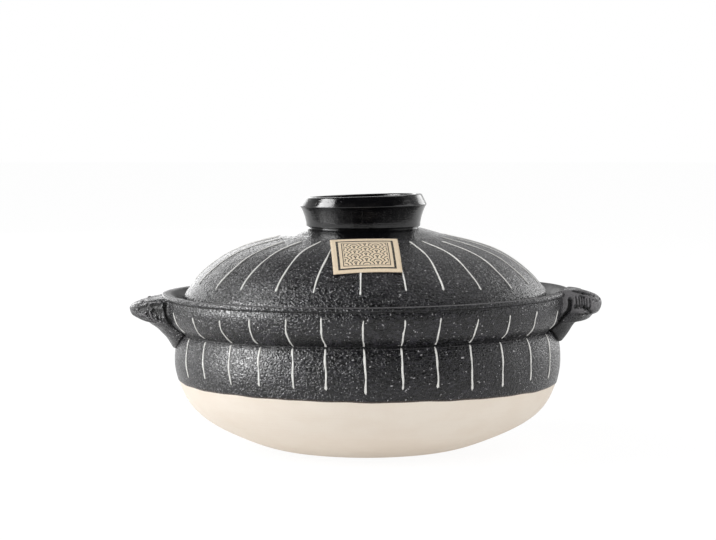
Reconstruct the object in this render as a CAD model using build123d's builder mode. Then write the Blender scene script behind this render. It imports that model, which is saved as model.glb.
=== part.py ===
from build123d import *
from math import cos, hypot, radians, sin
import os

# A lidded stoneware cooking pot, black glazed above a bare clay base, with white slip lines.
# The origin is the middle of the foot, +Z is up, and the two lug handles lie along X.

# Bowl: each radius is reached from the rim, and each height from the foot or from the rim
rim_radius = 140.0
rim_height = 108.4
lip_overhang = 1.3
lip_band_height = 3.4
lip_groove_depth = 0.9
lip_width = 4.2
collar_flare = 11.3
collar_rise = 26.4
belly_swell = 4.2
glazed_wall_rise = 35.1
glaze_line_inset = 2.0
foot_radius = 58.0
foot_ring_width = 7.0
foot_recess_depth = 1.2
gallery_width = 13.2
ledge_depth = 9.9
ledge_width = 8.4
ledge_edge_radius = 1.0
wall_thickness = 7.6
floor_height = 9.4

# Lid, with rises from the ledge that it sits on
lid_play = 2.3
lid_edge_rise = 7.5
lid_crown_rise = 53.5
lid_thickness = 6.5
lid_seat_width = 4.6
lid_seat_edge_radius = 1.0
lid_glaze_lift = 2.2
steam_hole_diameter = 7.0
steam_hole_from_edge = 22.5
steam_hole_angle = 64.0

# Knob, a ring that stands on the lid, with rises from the crown
knob_radius = 43.3
knob_widest_rise = 17.3
knob_rise = 23.4
knob_top_bevel = 3.1
knob_rim_width = 4.4
knob_taper = 4.4
knob_waist_rise = 0.9
knob_collar_inset = 1.2
knob_wall = 9.7
knob_edge_radius = 1.2
crown_margin = 2.0

# Lug handles
handle_projection = 23.0
handle_half_width = 41.5
handle_top_drop = 1.4
handle_foot_drop = 15.5
handle_root_depth = 9.4
handle_plan_power = 2.35

# Coats, lines and label
glaze_thickness = 0.5
slip_height = 0.35
slip_width = 1.3
bond_gap = 0.01
pot_line_places = 32
places_hidden_by_handle = 3
wall_line_top_gap = 1.6
wall_line_foot_gap = 7.5
flare_line_top_gap = 8.8
flare_line_bottom_gap = 1.0
lid_line_count = 27
lid_line_knob_gap = 16.7
lid_line_edge_gap = 5.5
lid_line_start_angle = -94.2
lid_line_drift_angle = 5.6
label_width = 45.0
label_length = 47.0
label_thickness = 0.3
label_from_edge = 36.5
label_turn = 3.0

# One overrun serves every cut and every region that is trimmed afterwards
overrun = 10.0

# Radii of the bowl, from the lip inwards
flare_radius = rim_radius - lip_overhang
crease_radius = flare_radius - collar_flare
belly_radius = crease_radius + belly_swell
glaze_line_radius = belly_radius - glaze_line_inset
inner_belly_radius = belly_radius - wall_thickness
ledge_outer_radius = rim_radius - gallery_width
ledge_inner_radius = ledge_outer_radius - ledge_width

# Heights of the bowl, from the rim downwards
lip_groove_height = rim_height - lip_band_height
ledge_height = rim_height - ledge_depth
crease_height = rim_height - collar_rise
glaze_line_height = crease_height - glazed_wall_rise

# The lid sits in the gallery, and its knob stands on the crown
lid_radius = ledge_outer_radius - lid_play
lid_edge_height = ledge_height + lid_edge_rise
lid_crown_height = ledge_height + lid_crown_rise
knob_top_radius = knob_radius - knob_top_bevel
knob_waist_radius = knob_radius - knob_taper
knob_collar_radius = knob_waist_radius - knob_collar_inset
knob_recess_radius = knob_collar_radius - knob_wall
lid_crown_radius = knob_recess_radius + crown_margin
knob_height = lid_crown_height + knob_rise
knob_widest_height = lid_crown_height + knob_widest_rise
knob_waist_height = lid_crown_height + knob_waist_rise
steam_hole_from_axis = lid_radius - steam_hole_from_edge
label_from_axis = lid_radius - label_from_edge

# The handles are luted on the collar
handle_reach = rim_radius + handle_projection
handle_root_radius = crease_radius - handle_root_depth
handle_top_height = rim_height - handle_top_drop
handle_foot_height = crease_height - handle_foot_drop


def between(low, high, share):
    """The value that lies at a share of the way from low to high."""
    return low + (high - low) * share


def height_at(outline, radius):
    """Height of an outline at one radius, in a straight line between its points."""
    for start, end in zip(outline, outline[1:]):
        if start[0] <= radius <= end[0]:
            return between(start[1], end[1], (radius - start[0]) / (end[0] - start[0]))
    return outline[-1][1]


def shifted(points, distance):
    """Move an outline sideways, to the left of its direction, with mitred corners."""
    moved = []
    for i, point in enumerate(points):
        before = points[max(i - 1, 0)]
        after = points[min(i + 1, len(points) - 1)]
        normals = []
        for start, end in ((before, point), (point, after)):
            run, rise = end[0] - start[0], end[1] - start[1]
            length = hypot(run, rise)
            if length > 0:
                normals.append((-rise / length, run / length))
        nx = sum(n[0] for n in normals) / len(normals)
        ny = sum(n[1] for n in normals) / len(normals)
        scale = distance / (nx * nx + ny * ny)
        moved.append((point[0] + nx * scale, point[1] + ny * scale))
    return moved


# Outline of the bare base, from the foot's edge up to the glaze line, as shares of that rise and reach
base_shares = ((0.115, 0.030), (0.255, 0.090), (0.395, 0.172), (0.530, 0.262), (0.660, 0.362),
               (0.775, 0.475), (0.872, 0.610), (0.945, 0.775))
base_outline = [(foot_radius, 0.0)]
for across_share, up_share in base_shares:
    base_outline.append((between(foot_radius, glaze_line_radius - glaze_thickness, across_share),
                         between(0.0, glaze_line_height, up_share)))
base_outline.append((glaze_line_radius - glaze_thickness, glaze_line_height))

# Outline of the glazed wall, from the glaze line up to the crease
wall_shares = ((0.55, 0.15), (0.92, 0.30), (1.00, 0.48))
shoulder_shares = ((0.80, 0.70), (0.45, 0.87))
wall_outline = [(glaze_line_radius, glaze_line_height)]
for out_share, up_share in wall_shares:
    wall_outline.append((between(glaze_line_radius, belly_radius, out_share),
                         between(glaze_line_height, crease_height, up_share)))
for out_share, up_share in shoulder_shares:
    wall_outline.append((between(crease_radius, belly_radius, out_share),
                         between(glaze_line_height, crease_height, up_share)))
wall_outline.append((crease_radius, crease_height))

# Outline of the flared collar, from the crease up to the groove under the lip
flare_shares = ((0.30, 0.105), (0.56, 0.215), (0.79, 0.375), (0.92, 0.560), (1.00, 0.800))
flare_outline = [(crease_radius, crease_height)]
for out_share, up_share in flare_shares:
    flare_outline.append((between(crease_radius, flare_radius, out_share),
                          between(crease_height, lip_groove_height, up_share)))
flare_outline.append((rim_radius - lip_groove_depth - glaze_thickness, lip_groove_height))

# Outline of the lip, from the groove over the crest
lip_shares = ((0.00, 0.20), (0.00, 0.62), (0.18, 0.92))
lip_outline = [flare_outline[-1]]
for in_share, up_share in lip_shares:
    lip_outline.append((rim_radius - lip_width * in_share,
                        between(lip_groove_height, rim_height, up_share)))
lip_outline.append((rim_radius - lip_width / 2, rim_height))

# Outline of the gallery, from the crest of the lip down to the ledge that the lid sits on
gallery_shares = ((0.34, 0.97), (0.58, 0.80), (0.80, 0.45), (0.95, 0.15))
gallery_outline = [lip_outline[-1]]
for in_share, up_share in gallery_shares:
    gallery_outline.append((between(rim_radius - lip_width / 2, ledge_outer_radius, in_share),
                            between(ledge_height, rim_height, up_share)))
gallery_outline.append((ledge_outer_radius, ledge_height))

# Outline of the inside, from the ledge's inner edge down to the middle of the floor
inside_shares = ((0.955, 0.900), (0.962, 0.835), (0.986, 0.740), (1.000, 0.620), (0.993, 0.500),
                 (0.968, 0.385), (0.925, 0.275), (0.856, 0.180), (0.758, 0.105), (0.625, 0.048),
                 (0.440, 0.015), (0.200, 0.000))
inside_outline = [(ledge_inner_radius, ledge_height - 2 * ledge_edge_radius)]
for out_share, up_share in inside_shares:
    inside_outline.append((inner_belly_radius * out_share,
                           between(floor_height, ledge_height, up_share)))
inside_outline.append((0.0, floor_height))

# The clay lies under the coats, so its own outlines are moved into the wall by the glaze
whole_outside = wall_outline + flare_outline[1:] + lip_outline[1:]
clay_outside = shifted(whole_outside, glaze_thickness)
wall_end = len(wall_outline)
flare_end = wall_end + len(flare_outline) - 1
clay_wall = clay_outside[:wall_end]
clay_flare = clay_outside[wall_end - 1:flare_end]
clay_lip = clay_outside[flare_end - 1:]
clay_wall[0] = base_outline[-1]
clay_lip[-1] = (lip_outline[-1][0], rim_height - glaze_thickness)
clay_gallery = shifted(gallery_outline, glaze_thickness)
clay_gallery[0] = clay_lip[-1]
clay_gallery[-1] = (ledge_outer_radius + glaze_thickness, ledge_height)
clay_inside = shifted(inside_outline, glaze_thickness)
clay_inside[-1] = (0.0, floor_height - glaze_thickness)


def bowl_outside():
    """Bare base, wall, collar and lip, in the clay."""
    Spline(*base_outline)
    Spline(*clay_wall)
    Spline(*clay_flare)
    Spline(*clay_lip)


def bowl_foot():
    """The turned recess under the foot, from its outer edge to the axis."""
    recess_radius = foot_radius - foot_ring_width
    Polyline((foot_radius, 0), (recess_radius, 0), (recess_radius - foot_recess_depth, foot_recess_depth),
             (0, foot_recess_depth))


with BuildPart() as pot_bowl:
    with BuildSketch(Plane.XZ):
        with BuildLine():
            bowl_foot()
            bowl_outside()
            Spline(*clay_gallery)
            Line(clay_gallery[-1], (ledge_inner_radius + ledge_edge_radius, ledge_height))
            Line((ledge_inner_radius + ledge_edge_radius, ledge_height), clay_inside[0])
            Spline(*clay_inside)
            Line(clay_inside[-1], (0, foot_recess_depth))
        make_face()
    revolve(axis=Axis.Z)
pot_bowl.part.label = "pot_bowl"

# The bowl without its hollow, which the handles are fitted against
with BuildPart() as bowl_blank:
    with BuildSketch(Plane.XZ):
        with BuildLine():
            bowl_outside()
            Polyline(clay_lip[-1], (0, clay_lip[-1][1]), (0, 0), (foot_radius, 0))
        make_face()
    revolve(axis=Axis.Z)

# Each handle is a lug whose plan is a rounded D. Its levels run from the foot of the neck to the top:
# share of the height, share of the reach from the root, share of the half width
handle_level_shares = ((0.000, 0.270, 0.62), (0.110, 0.350, 0.74), (0.235, 0.430, 0.82),
                       (0.345, 0.510, 0.88), (0.440, 0.610, 0.93), (0.510, 0.730, 0.97),
                       (0.590, 0.880, 0.99), (0.680, 0.970, 1.00), (0.780, 1.000, 0.97),
                       (0.860, 0.970, 0.88), (0.930, 0.780, 0.70), (1.000, 0.500, 0.42))
handle_outline_steps = 12


def handle_section(side, level):
    """The D-shaped plan of a handle at one level."""
    up_share, reach_share, width_share = level
    reach = (handle_reach - handle_root_radius) * reach_share
    half_width = handle_half_width * width_share
    points = []
    for step in range(handle_outline_steps + 1):
        turn = radians(180 * step / handle_outline_steps - 90)
        along = abs(cos(turn)) ** (2 / handle_plan_power)
        across = abs(sin(turn)) ** (2 / handle_plan_power) * (1 if turn > 0 else -1)
        points.append((side * (handle_root_radius + reach * along), half_width * across))
    with BuildSketch(Plane.XY.offset(between(handle_foot_height, handle_top_height, up_share))) as plan:
        with BuildLine():
            Spline(*points)
            Line(points[-1], points[0])
        make_face()
    return plan.sketch


def make_handle(side):
    """One lug, with its back cut to the outside of the bowl."""
    sections = [handle_section(side, level) for level in handle_level_shares]
    with BuildPart() as lug:
        loft(sections=sections, ruled=True)
        add(bowl_blank.part, mode=Mode.SUBTRACT)
    return lug


left_handle = make_handle(-1)
left_handle.part.label = "left_handle"
right_handle = make_handle(1)
right_handle.part.label = "right_handle"

# The outer coat runs from the glaze line to the crest of the lip, and is open where the handles are luted on
with BuildPart() as pot_outer_glaze:
    with BuildSketch(Plane.XZ):
        with BuildLine():
            Line(clay_wall[0], wall_outline[0])
            Spline(*wall_outline)
            Spline(*flare_outline)
            Spline(*lip_outline)
            Line(lip_outline[-1], clay_lip[-1])
            Spline(*clay_lip)
            Spline(*clay_flare)
            Spline(*clay_wall)
        make_face()
    revolve(axis=Axis.Z)
    add(left_handle.part, mode=Mode.SUBTRACT)
    add(right_handle.part, mode=Mode.SUBTRACT)
pot_outer_glaze.part.label = "pot_outer_glaze"

# The gallery coat runs from the crest of the lip down to the bare ledge
with BuildPart() as gallery_glaze:
    with BuildSketch(Plane.XZ):
        with BuildLine():
            Spline(*gallery_outline)
            Line(gallery_outline[-1], clay_gallery[-1])
            Spline(*clay_gallery)
            Line(clay_gallery[0], gallery_outline[0])
        make_face()
    revolve(axis=Axis.Z)
gallery_glaze.part.label = "gallery_glaze"

# The inner coat runs from below the bare ledge over the whole floor
with BuildPart() as pot_inner_glaze:
    with BuildSketch(Plane.XZ):
        with BuildLine():
            Spline(*inside_outline)
            Line(inside_outline[-1], clay_inside[-1])
            Spline(*clay_inside)
            Line(clay_inside[0], inside_outline[0])
        make_face()
    revolve(axis=Axis.Z)
pot_inner_glaze.part.label = "pot_inner_glaze"

# Slip lines of the pot. The lines stand at even places round the pot, each drifting a little by hand,
# and none is drawn under a handle. The same front half is repeated at the back, turned half round.
line_pitch = 360 / pot_line_places
line_drift_shares = (0.20, 0.19, 0.25, 0.17, 0.13, 0.00, 0.00, -0.04, -0.15, -0.17, -0.16, 0.00, 0.26)
lines_each_side = pot_line_places // 2 - places_hidden_by_handle
pot_line_angles = []
middle = (lines_each_side - 1) / 2
for half_turn in (0, 180):
    for place in range(lines_each_side):
        drift_share = line_drift_shares[place % len(line_drift_shares)]
        pot_line_angles.append(half_turn - 90 + line_pitch * (place - middle + drift_share))

wall_slip_back = shifted(wall_outline, -bond_gap)
wall_slip_face = shifted(wall_outline, -slip_height)
flare_slip_back = shifted(flare_outline, -bond_gap)
flare_slip_face = shifted(flare_outline, -slip_height)


def slip_strip(angle, inner, outer, low, high, tangents=()):
    """One raised line: the band between two outlines, trimmed to a box of radius and height."""
    with BuildSketch(Plane.XZ.rotated((0, 0, angle))) as strip:
        with BuildLine():
            Spline(*inner, tangents=tangents)
            Line(inner[-1], outer[-1])
            Spline(*outer, tangents=tangents)
            Line(outer[0], inner[0])
        make_face()
        with Locations(((low[0] + high[0]) / 2, (low[1] + high[1]) / 2)):
            Rectangle(high[0] - low[0], high[1] - low[1], mode=Mode.INTERSECT)
    extrude(strip.sketch, amount=slip_width / 2, both=True)


with BuildPart() as pot_wall_slip_lines:
    for line_angle in pot_line_angles:
        slip_strip(line_angle, wall_slip_back, wall_slip_face,
                   (crease_radius - overrun, glaze_line_height + wall_line_foot_gap),
                   (belly_radius + overrun, crease_height - wall_line_top_gap))
pot_wall_slip_lines.part.label = "pot_wall_slip_lines"

with BuildPart() as pot_flare_slip_lines:
    for line_angle in pot_line_angles:
        slip_strip(line_angle, flare_slip_back, flare_slip_face,
                   (crease_radius - overrun, crease_height + flare_line_bottom_gap),
                   (flare_radius + overrun, rim_height - flare_line_top_gap))
pot_flare_slip_lines.part.label = "pot_flare_slip_lines"

# Outline of the lid's dome, from the flat crown out to its edge, as shares of the radius and of the drop
dome_shares = ((0.105, 0.022), (0.212, 0.085), (0.318, 0.148), (0.423, 0.198), (0.529, 0.257),
               (0.635, 0.339), (0.741, 0.456), (0.825, 0.583), (0.889, 0.696), (0.942, 0.820),
               (0.979, 0.913))
dome_tangents = ((1, 0), (0, -1))
crown_edge = (lid_crown_radius, lid_crown_height)
dome_outline = [crown_edge]
for out_share, down_share in dome_shares:
    dome_outline.append((between(lid_crown_radius, lid_radius, out_share),
                         between(lid_crown_height, lid_edge_height, down_share)))
dome_outline.append((lid_radius, lid_edge_height))
glaze_foot = (lid_radius, ledge_height + lid_glaze_lift)


def dome_shifted(rise):
    """The dome's outline lifted off the glaze, still upright at the lid's edge."""
    lifted = shifted(dome_outline, rise)
    lifted[0] = (lid_crown_radius, lid_crown_height + rise)
    lifted[-1] = (lid_radius + rise, lid_edge_height)
    return lifted


clay_dome = dome_shifted(-glaze_thickness)
clay_glaze_foot = (lid_radius - glaze_thickness, ledge_height + lid_glaze_lift)

# The underside follows the dome at the lid's thickness, and ends at the seat
under_dome = dome_shifted(-lid_thickness)
under_glaze_face = dome_shifted(-lid_thickness - glaze_thickness)
seat_outer = lid_radius - glaze_thickness - lid_seat_edge_radius
seat_inner = seat_outer - lid_seat_width


def lid_clay_lines():
    """Section of the lid's clay: crown, dome, edge, seat and underside."""
    Line((0, lid_crown_height - glaze_thickness), clay_dome[0])
    Spline(*clay_dome, tangents=dome_tangents)
    Polyline(clay_dome[-1], clay_glaze_foot, (clay_glaze_foot[0], ledge_height + lid_seat_edge_radius),
             (seat_outer, ledge_height), (seat_inner, ledge_height),
             (under_dome[-1][0], ledge_height + lid_seat_edge_radius), under_dome[-1])
    Spline(*under_dome, tangents=dome_tangents)
    Polyline(under_dome[0], (0, lid_crown_height - lid_thickness), (0, lid_crown_height - glaze_thickness))


# The knob's side is hollowed a little: its middle point lies inside the straight line
knob_hollow_out_share = 0.34
knob_hollow_up_share = 0.50


def knob_lines():
    """Section of the knob's ring, which runs on down into the crown to be trimmed there."""
    rim_inner = knob_top_radius - knob_rim_width
    low = lid_crown_height - lid_thickness / 2
    Polyline((knob_recess_radius, low), (knob_collar_radius, low), (knob_collar_radius, lid_crown_height),
             (knob_waist_radius, knob_waist_height))
    ThreePointArc((knob_waist_radius, knob_waist_height),
                  (between(knob_waist_radius, knob_radius, knob_hollow_out_share),
                   between(knob_waist_height, knob_widest_height, knob_hollow_up_share)),
                  (knob_radius, knob_widest_height))
    Polyline((knob_radius, knob_widest_height), (knob_top_radius, knob_height), (rim_inner, knob_height),
             (knob_recess_radius, lid_crown_height + knob_edge_radius), (knob_recess_radius, low))


# The steam hole goes straight down through the lid, at the back and to the right
steam_hole_place = (steam_hole_from_axis * cos(radians(steam_hole_angle)),
                    steam_hole_from_axis * sin(radians(steam_hole_angle)), lid_crown_height)

with BuildPart() as lid_dome:
    with BuildSketch(Plane.XZ):
        with BuildLine():
            lid_clay_lines()
        make_face()
    revolve(axis=Axis.Z)
    with Locations(steam_hole_place):
        Hole(steam_hole_diameter / 2)
lid_dome.part.label = "lid_dome"

with BuildPart() as knob_ring:
    with BuildSketch(Plane.XZ):
        with BuildLine():
            knob_lines()
        make_face()
        with BuildLine():
            lid_clay_lines()
        make_face(mode=Mode.SUBTRACT)
    revolve(axis=Axis.Z)
knob_ring.part.label = "knob_ring"

with BuildPart() as lid_outer_glaze:
    with BuildSketch(Plane.XZ):
        with BuildLine():
            Line((0, lid_crown_height), crown_edge)
            Spline(*dome_outline, tangents=dome_tangents)
            Polyline(dome_outline[-1], glaze_foot, clay_glaze_foot, clay_dome[-1])
            Spline(*clay_dome, tangents=dome_tangents)
            Polyline(clay_dome[0], (0, lid_crown_height - glaze_thickness), (0, lid_crown_height))
        make_face()
        with BuildLine():
            knob_lines()
        make_face(mode=Mode.SUBTRACT)
    revolve(axis=Axis.Z)
    with Locations(steam_hole_place):
        Hole(steam_hole_diameter / 2)
lid_outer_glaze.part.label = "lid_outer_glaze"

with BuildPart() as lid_inner_glaze:
    with BuildSketch(Plane.XZ):
        with BuildLine():
            Line((0, lid_crown_height - lid_thickness), under_dome[0])
            Spline(*under_dome, tangents=dome_tangents)
            Line(under_dome[-1], under_glaze_face[-1])
            Spline(*under_glaze_face, tangents=dome_tangents)
            Polyline(under_glaze_face[0], (0, under_glaze_face[0][1]), (0, lid_crown_height - lid_thickness))
        make_face()
    revolve(axis=Axis.Z)
    with Locations(steam_hole_place):
        Hole(steam_hole_diameter / 2)
lid_inner_glaze.part.label = "lid_inner_glaze"

# Slip lines of the lid. They are even round the lid but for one slow drift, as a hand-turned wheel gives
lid_slip_back = dome_shifted(bond_gap)
lid_slip_face = dome_shifted(slip_height)
with BuildPart() as lid_slip_lines:
    for line in range(lid_line_count):
        turn = 360 * line / lid_line_count
        slip_strip(lid_line_start_angle + turn + lid_line_drift_angle * sin(radians(turn)),
                   lid_slip_back, lid_slip_face,
                   (knob_radius + lid_line_knob_gap, lid_edge_height - overrun),
                   (lid_radius - lid_line_edge_gap, lid_crown_height + overrun), dome_tangents)
lid_slip_lines.part.label = "lid_slip_lines"

# The paper label is bent over the dome in front, and rests on the slip lines
label_under = dome_shifted(slip_height + bond_gap)
label_over = dome_shifted(slip_height + label_thickness)
label_top = height_at(dome_outline, label_from_axis - label_length / 2)
label_foot = height_at(dome_outline, label_from_axis + label_length / 2)
label_plane = Plane(origin=(0, -label_from_axis, height_at(dome_outline, label_from_axis)),
                    x_dir=(1, 0, 0), z_dir=(0, label_foot - label_top, label_length))
with BuildPart() as label:
    with BuildSketch(Plane.XZ):
        with BuildLine():
            Spline(*label_under, tangents=dome_tangents)
            Line(label_under[-1], label_over[-1])
            Spline(*label_over, tangents=dome_tangents)
            Line(label_over[0], label_under[0])
        make_face()
    revolve(axis=Axis.Z)
    with BuildSketch(label_plane.rotated((0, 0, label_turn))):
        Rectangle(label_width, label_length)
    extrude(amount=2 * overrun, both=True, mode=Mode.INTERSECT)
label.part.label = "label"

pieces = (pot_bowl, left_handle, right_handle, pot_outer_glaze, gallery_glaze, pot_inner_glaze,
          pot_wall_slip_lines, pot_flare_slip_lines, lid_dome, knob_ring, lid_outer_glaze,
          lid_inner_glaze, lid_slip_lines, label)
os.makedirs("parts", exist_ok=True)
for piece in pieces:
    export_step(piece.part, "parts/" + piece.part.label + ".step")
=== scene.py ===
"""A lidded stoneware cooking pot: matt black glaze over a bare clay base, with raised white slip lines.

The pot stands on its foot at the origin, +Z up, with its two lug handles along X. Every length in the
classes is in millimetres, and becomes metres where a mesh is made.
"""

import logging
from dataclasses import dataclass
from enum import Enum
from math import pi, radians

import bpy
import numpy as np
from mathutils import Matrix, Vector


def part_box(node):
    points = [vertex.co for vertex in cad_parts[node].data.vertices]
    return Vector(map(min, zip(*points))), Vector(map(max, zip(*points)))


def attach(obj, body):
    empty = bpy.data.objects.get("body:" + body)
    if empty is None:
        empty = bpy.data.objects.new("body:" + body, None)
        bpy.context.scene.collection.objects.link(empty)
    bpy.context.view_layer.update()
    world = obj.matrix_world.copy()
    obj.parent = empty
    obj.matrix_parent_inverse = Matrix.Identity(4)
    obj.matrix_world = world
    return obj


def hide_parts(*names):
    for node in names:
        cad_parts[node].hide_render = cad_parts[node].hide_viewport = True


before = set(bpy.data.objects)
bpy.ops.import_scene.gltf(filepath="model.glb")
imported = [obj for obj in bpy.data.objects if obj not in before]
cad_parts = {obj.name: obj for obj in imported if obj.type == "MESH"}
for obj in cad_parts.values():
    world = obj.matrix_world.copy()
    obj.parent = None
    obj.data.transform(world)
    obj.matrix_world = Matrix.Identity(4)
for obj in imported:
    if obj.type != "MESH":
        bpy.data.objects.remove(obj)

log = logging.getLogger("pot")
MILLIMETRE = 0.001
Points = np.ndarray


class Body(Enum):
    """The two bodies that move apart: the bowl with all it carries, and the lid."""

    POT = "pot"
    LID = "lid"


class Slot(Enum):
    """The material slots that the pieces take their finish from."""

    CLAY = "bare_clay"
    MATT = "matt_black_glaze"
    GLOSS = "gloss_black_glaze"
    SLIP = "white_slip"
    PAPER = "kraft_paper"


def corner(node: str, high: bool, axis: int) -> float:
    """One coordinate of a node's box in millimetres.

    Args:
        node: name of the node.
        high: whether the highest corner is meant.
        axis: 0, 1 or 2 for X, Y or Z.

    Returns:
        The coordinate.
    """
    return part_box(node)[1 if high else 0][axis] / MILLIMETRE


def between(low: float, high: float, share: float) -> float:
    """The value that lies at a share of the way from low to high."""
    return low + (high - low) * share


def placed(shares: tuple[tuple[float, float], ...], across: tuple[float, float],
           up: tuple[float, float]) -> list[tuple[float, float]]:
    """Outline points from how far each lies across and up, as shares of the two ways."""
    return [(between(*across, a), between(*up, b)) for a, b in shares]


def smooth(value: Points, low: float, high: float) -> Points:
    """A soft step: 0 below low, 1 above high, and 3t2 - 2t3 between them."""
    t = np.clip((value - low) / (high - low), 0.0, 1.0)
    return t * t * (3 - 2 * t)


def bell(value: Points, width: float) -> Points:
    """A bell curve of one half width: exp(-(value / width) squared)."""
    return np.exp(-(value / width) ** 2)


def ripple(angle: Points, seed: int, waves: tuple[int, ...]) -> Points:
    """A closed uneven wave round the pot: sines with whole counts and seeded phases, over the counts' root.

    Args:
        angle: angle round the axis, in radians.
        seed: number of the phase set.
        waves: how many periods each sine has in one turn.

    Returns:
        Values between about -1 and 1.
    """
    phases = np.random.RandomState(seed).uniform(0, 2 * pi, len(waves))
    return sum(np.sin(n * angle + p) for n, p in zip(waves, phases)) / np.sqrt(len(waves))


def cubic(points: list[tuple[float, ...]] | Points, step: float, start: tuple[float, ...] | None = None,
          end: tuple[float, ...] | None = None) -> Points:
    """A cubic spline through points, parametrised by chord length, in even small steps.

    The second derivatives solve the usual tridiagonal system. An end has no bending, or the given slope.

    Args:
        points: the places that the curve passes through.
        step: length between two samples, about.
        start: unit slope at the first point, if it is held.
        end: unit slope at the last point, if it is held.

    Returns:
        The samples, one row each.
    """
    knots = np.asarray(points, float)
    length = np.linalg.norm(np.diff(knots, axis=0), axis=1)
    place = np.concatenate(([0.0], np.cumsum(length)))
    slope = np.diff(knots, axis=0) / length[:, None]
    system = np.eye(len(knots))
    right = np.zeros_like(knots)
    inner = np.arange(1, len(knots) - 1)
    system[inner, inner - 1] = length[:-1]
    system[inner, inner] = 2 * (length[:-1] + length[1:])
    system[inner, inner + 1] = length[1:]
    right[1:-1] = 6 * np.diff(slope, axis=0)
    if start is not None:
        system[0, :2] = 2 * length[0], length[0]
        right[0] = 6 * (slope[0] - np.asarray(start))
    if end is not None:
        system[-1, -2:] = length[-1], 2 * length[-1]
        right[-1] = 6 * (np.asarray(end) - slope[-1])
    bend = np.linalg.solve(system, right)
    wanted = np.linspace(0, place[-1], max(2, round(place[-1] / step) + 1))
    span = np.clip(np.searchsorted(place, wanted) - 1, 0, len(length) - 1)
    h = length[span][:, None]
    a = (place[span + 1] - wanted)[:, None] / h
    b = 1 - a
    return (a * knots[span] + b * knots[span + 1]
            + ((a ** 3 - a) * bend[span] + (b ** 3 - b) * bend[span + 1]) * h * h / 6)


def normals_of(outline: Points) -> Points:
    """Unit normals to the right of an outline's direction, by central differences."""
    run = np.gradient(outline, axis=0)
    side = np.stack((run[:, 1], -run[:, 0]), axis=1)
    return side / np.linalg.norm(side, axis=1)[:, None]


def travelled(outline: Points) -> Points:
    """Length along an outline up to each of its points."""
    return np.concatenate(([0.0], np.cumsum(np.linalg.norm(np.diff(outline, axis=0), axis=1))))


def rounded(corners: list[tuple[float, float, float]], steps: int = 6) -> Points:
    """A polyline whose corners are rounded by short curves.

    Each corner with a radius becomes a quadratic curve that starts and ends that far from it.

    Args:
        corners: (radius from the axis, height, rounding) of each corner.
        steps: how many pieces each rounding has.

    Returns:
        The outline's points.
    """
    places = np.array([c[:2] for c in corners], float)
    parts = []
    for i, (across, up, rounding) in enumerate(corners):
        here = np.array((across, up))
        if rounding == 0 or i in (0, len(corners) - 1):
            parts.append(here[None])
            continue
        back, ahead = places[i - 1] - here, places[i + 1] - here
        first = here + back / np.linalg.norm(back) * min(rounding, np.linalg.norm(back) / 2)
        last = here + ahead / np.linalg.norm(ahead) * min(rounding, np.linalg.norm(ahead) / 2)
        t = np.linspace(0, 1, steps + 1)[:, None]
        parts.append((1 - t) ** 2 * first + 2 * t * (1 - t) * here + t * t * last)
    return np.concatenate(parts)


@dataclass(frozen=True)
class Throwing:
    """How far the hand-thrown pot departs from a turned one.

    The settled place of a point is its own, raised by x times a slant that changes with height, moved
    outwards by a share of its radius that has two and three waves in a turn, and moved along X by a drift
    that changes with height. The back of the collar hangs a little, and so does the lid's edge above it. The
    knob's top has sunk and leans back. A pair of heights is where such a change begins and where it is full.
    """

    slant_heights: tuple[float, ...] = (0.0, 46.9, 82.0, 108.4, 122.0, 140.0, 153.0, 168.0, 175.4)
    slants: tuple[float, ...] = (0.0, -0.006, 0.0142, 0.011, 0.005, 0.002, 0.002, 0.016, 0.034)
    drift_heights: tuple[float, ...] = (0.0, 25.0, 50.0, 80.0, 92.0, 130.0, 148.0, 153.0)
    drifts: tuple[float, ...] = (0.6, 1.6, 1.6, 1.6, 0.2, -0.2, -0.6, -1.4)
    oval_share: float = 0.0012
    oval_phase: float = 0.6
    lobe_share: float = 0.0007
    lobe_phase: float = -1.0
    belly_growth: float = 0.0095
    belly_height: float = 62.0
    belly_reach: float = 22.0
    back_drop: float = 0.013
    back_heights: tuple[float, float] = (94.0, 107.0)
    back_fade_heights: tuple[float, float] = (108.0, 114.0)
    knob_lean: float = 0.020
    knob_drop: float = 1.7
    knob_heights: tuple[float, float] = (156.0, 175.4)

    def settle(self, places: Points) -> Points:
        """Move places from the turned pot to the thrown one.

        Args:
            places: an array whose last axis is (x, y, z) in millimetres.

        Returns:
            The moved places, in the same layout.
        """
        x, y, z = places[..., 0], places[..., 1], places[..., 2]
        angle = np.arctan2(y, x)
        grown = 1 + self.oval_share * np.sin(2 * angle + self.oval_phase)
        grown = grown + self.lobe_share * np.sin(3 * angle + self.lobe_phase)
        grown = grown + self.belly_growth * bell(z - self.belly_height, self.belly_reach)
        slant = np.interp(z, self.slant_heights, self.slants)
        drift = np.interp(z, self.drift_heights, self.drifts)
        raised = x * slant - smooth(z, *self.knob_heights) * (self.knob_lean * y + self.knob_drop)
        hanging = smooth(z, *self.back_heights) * (1 - smooth(z, *self.back_fade_heights))
        raised = raised - self.back_drop * np.maximum(y, 0) * hanging
        return np.stack((x * grown + drift, y * grown, z + raised), axis=-1)


THROWING = Throwing()


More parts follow.
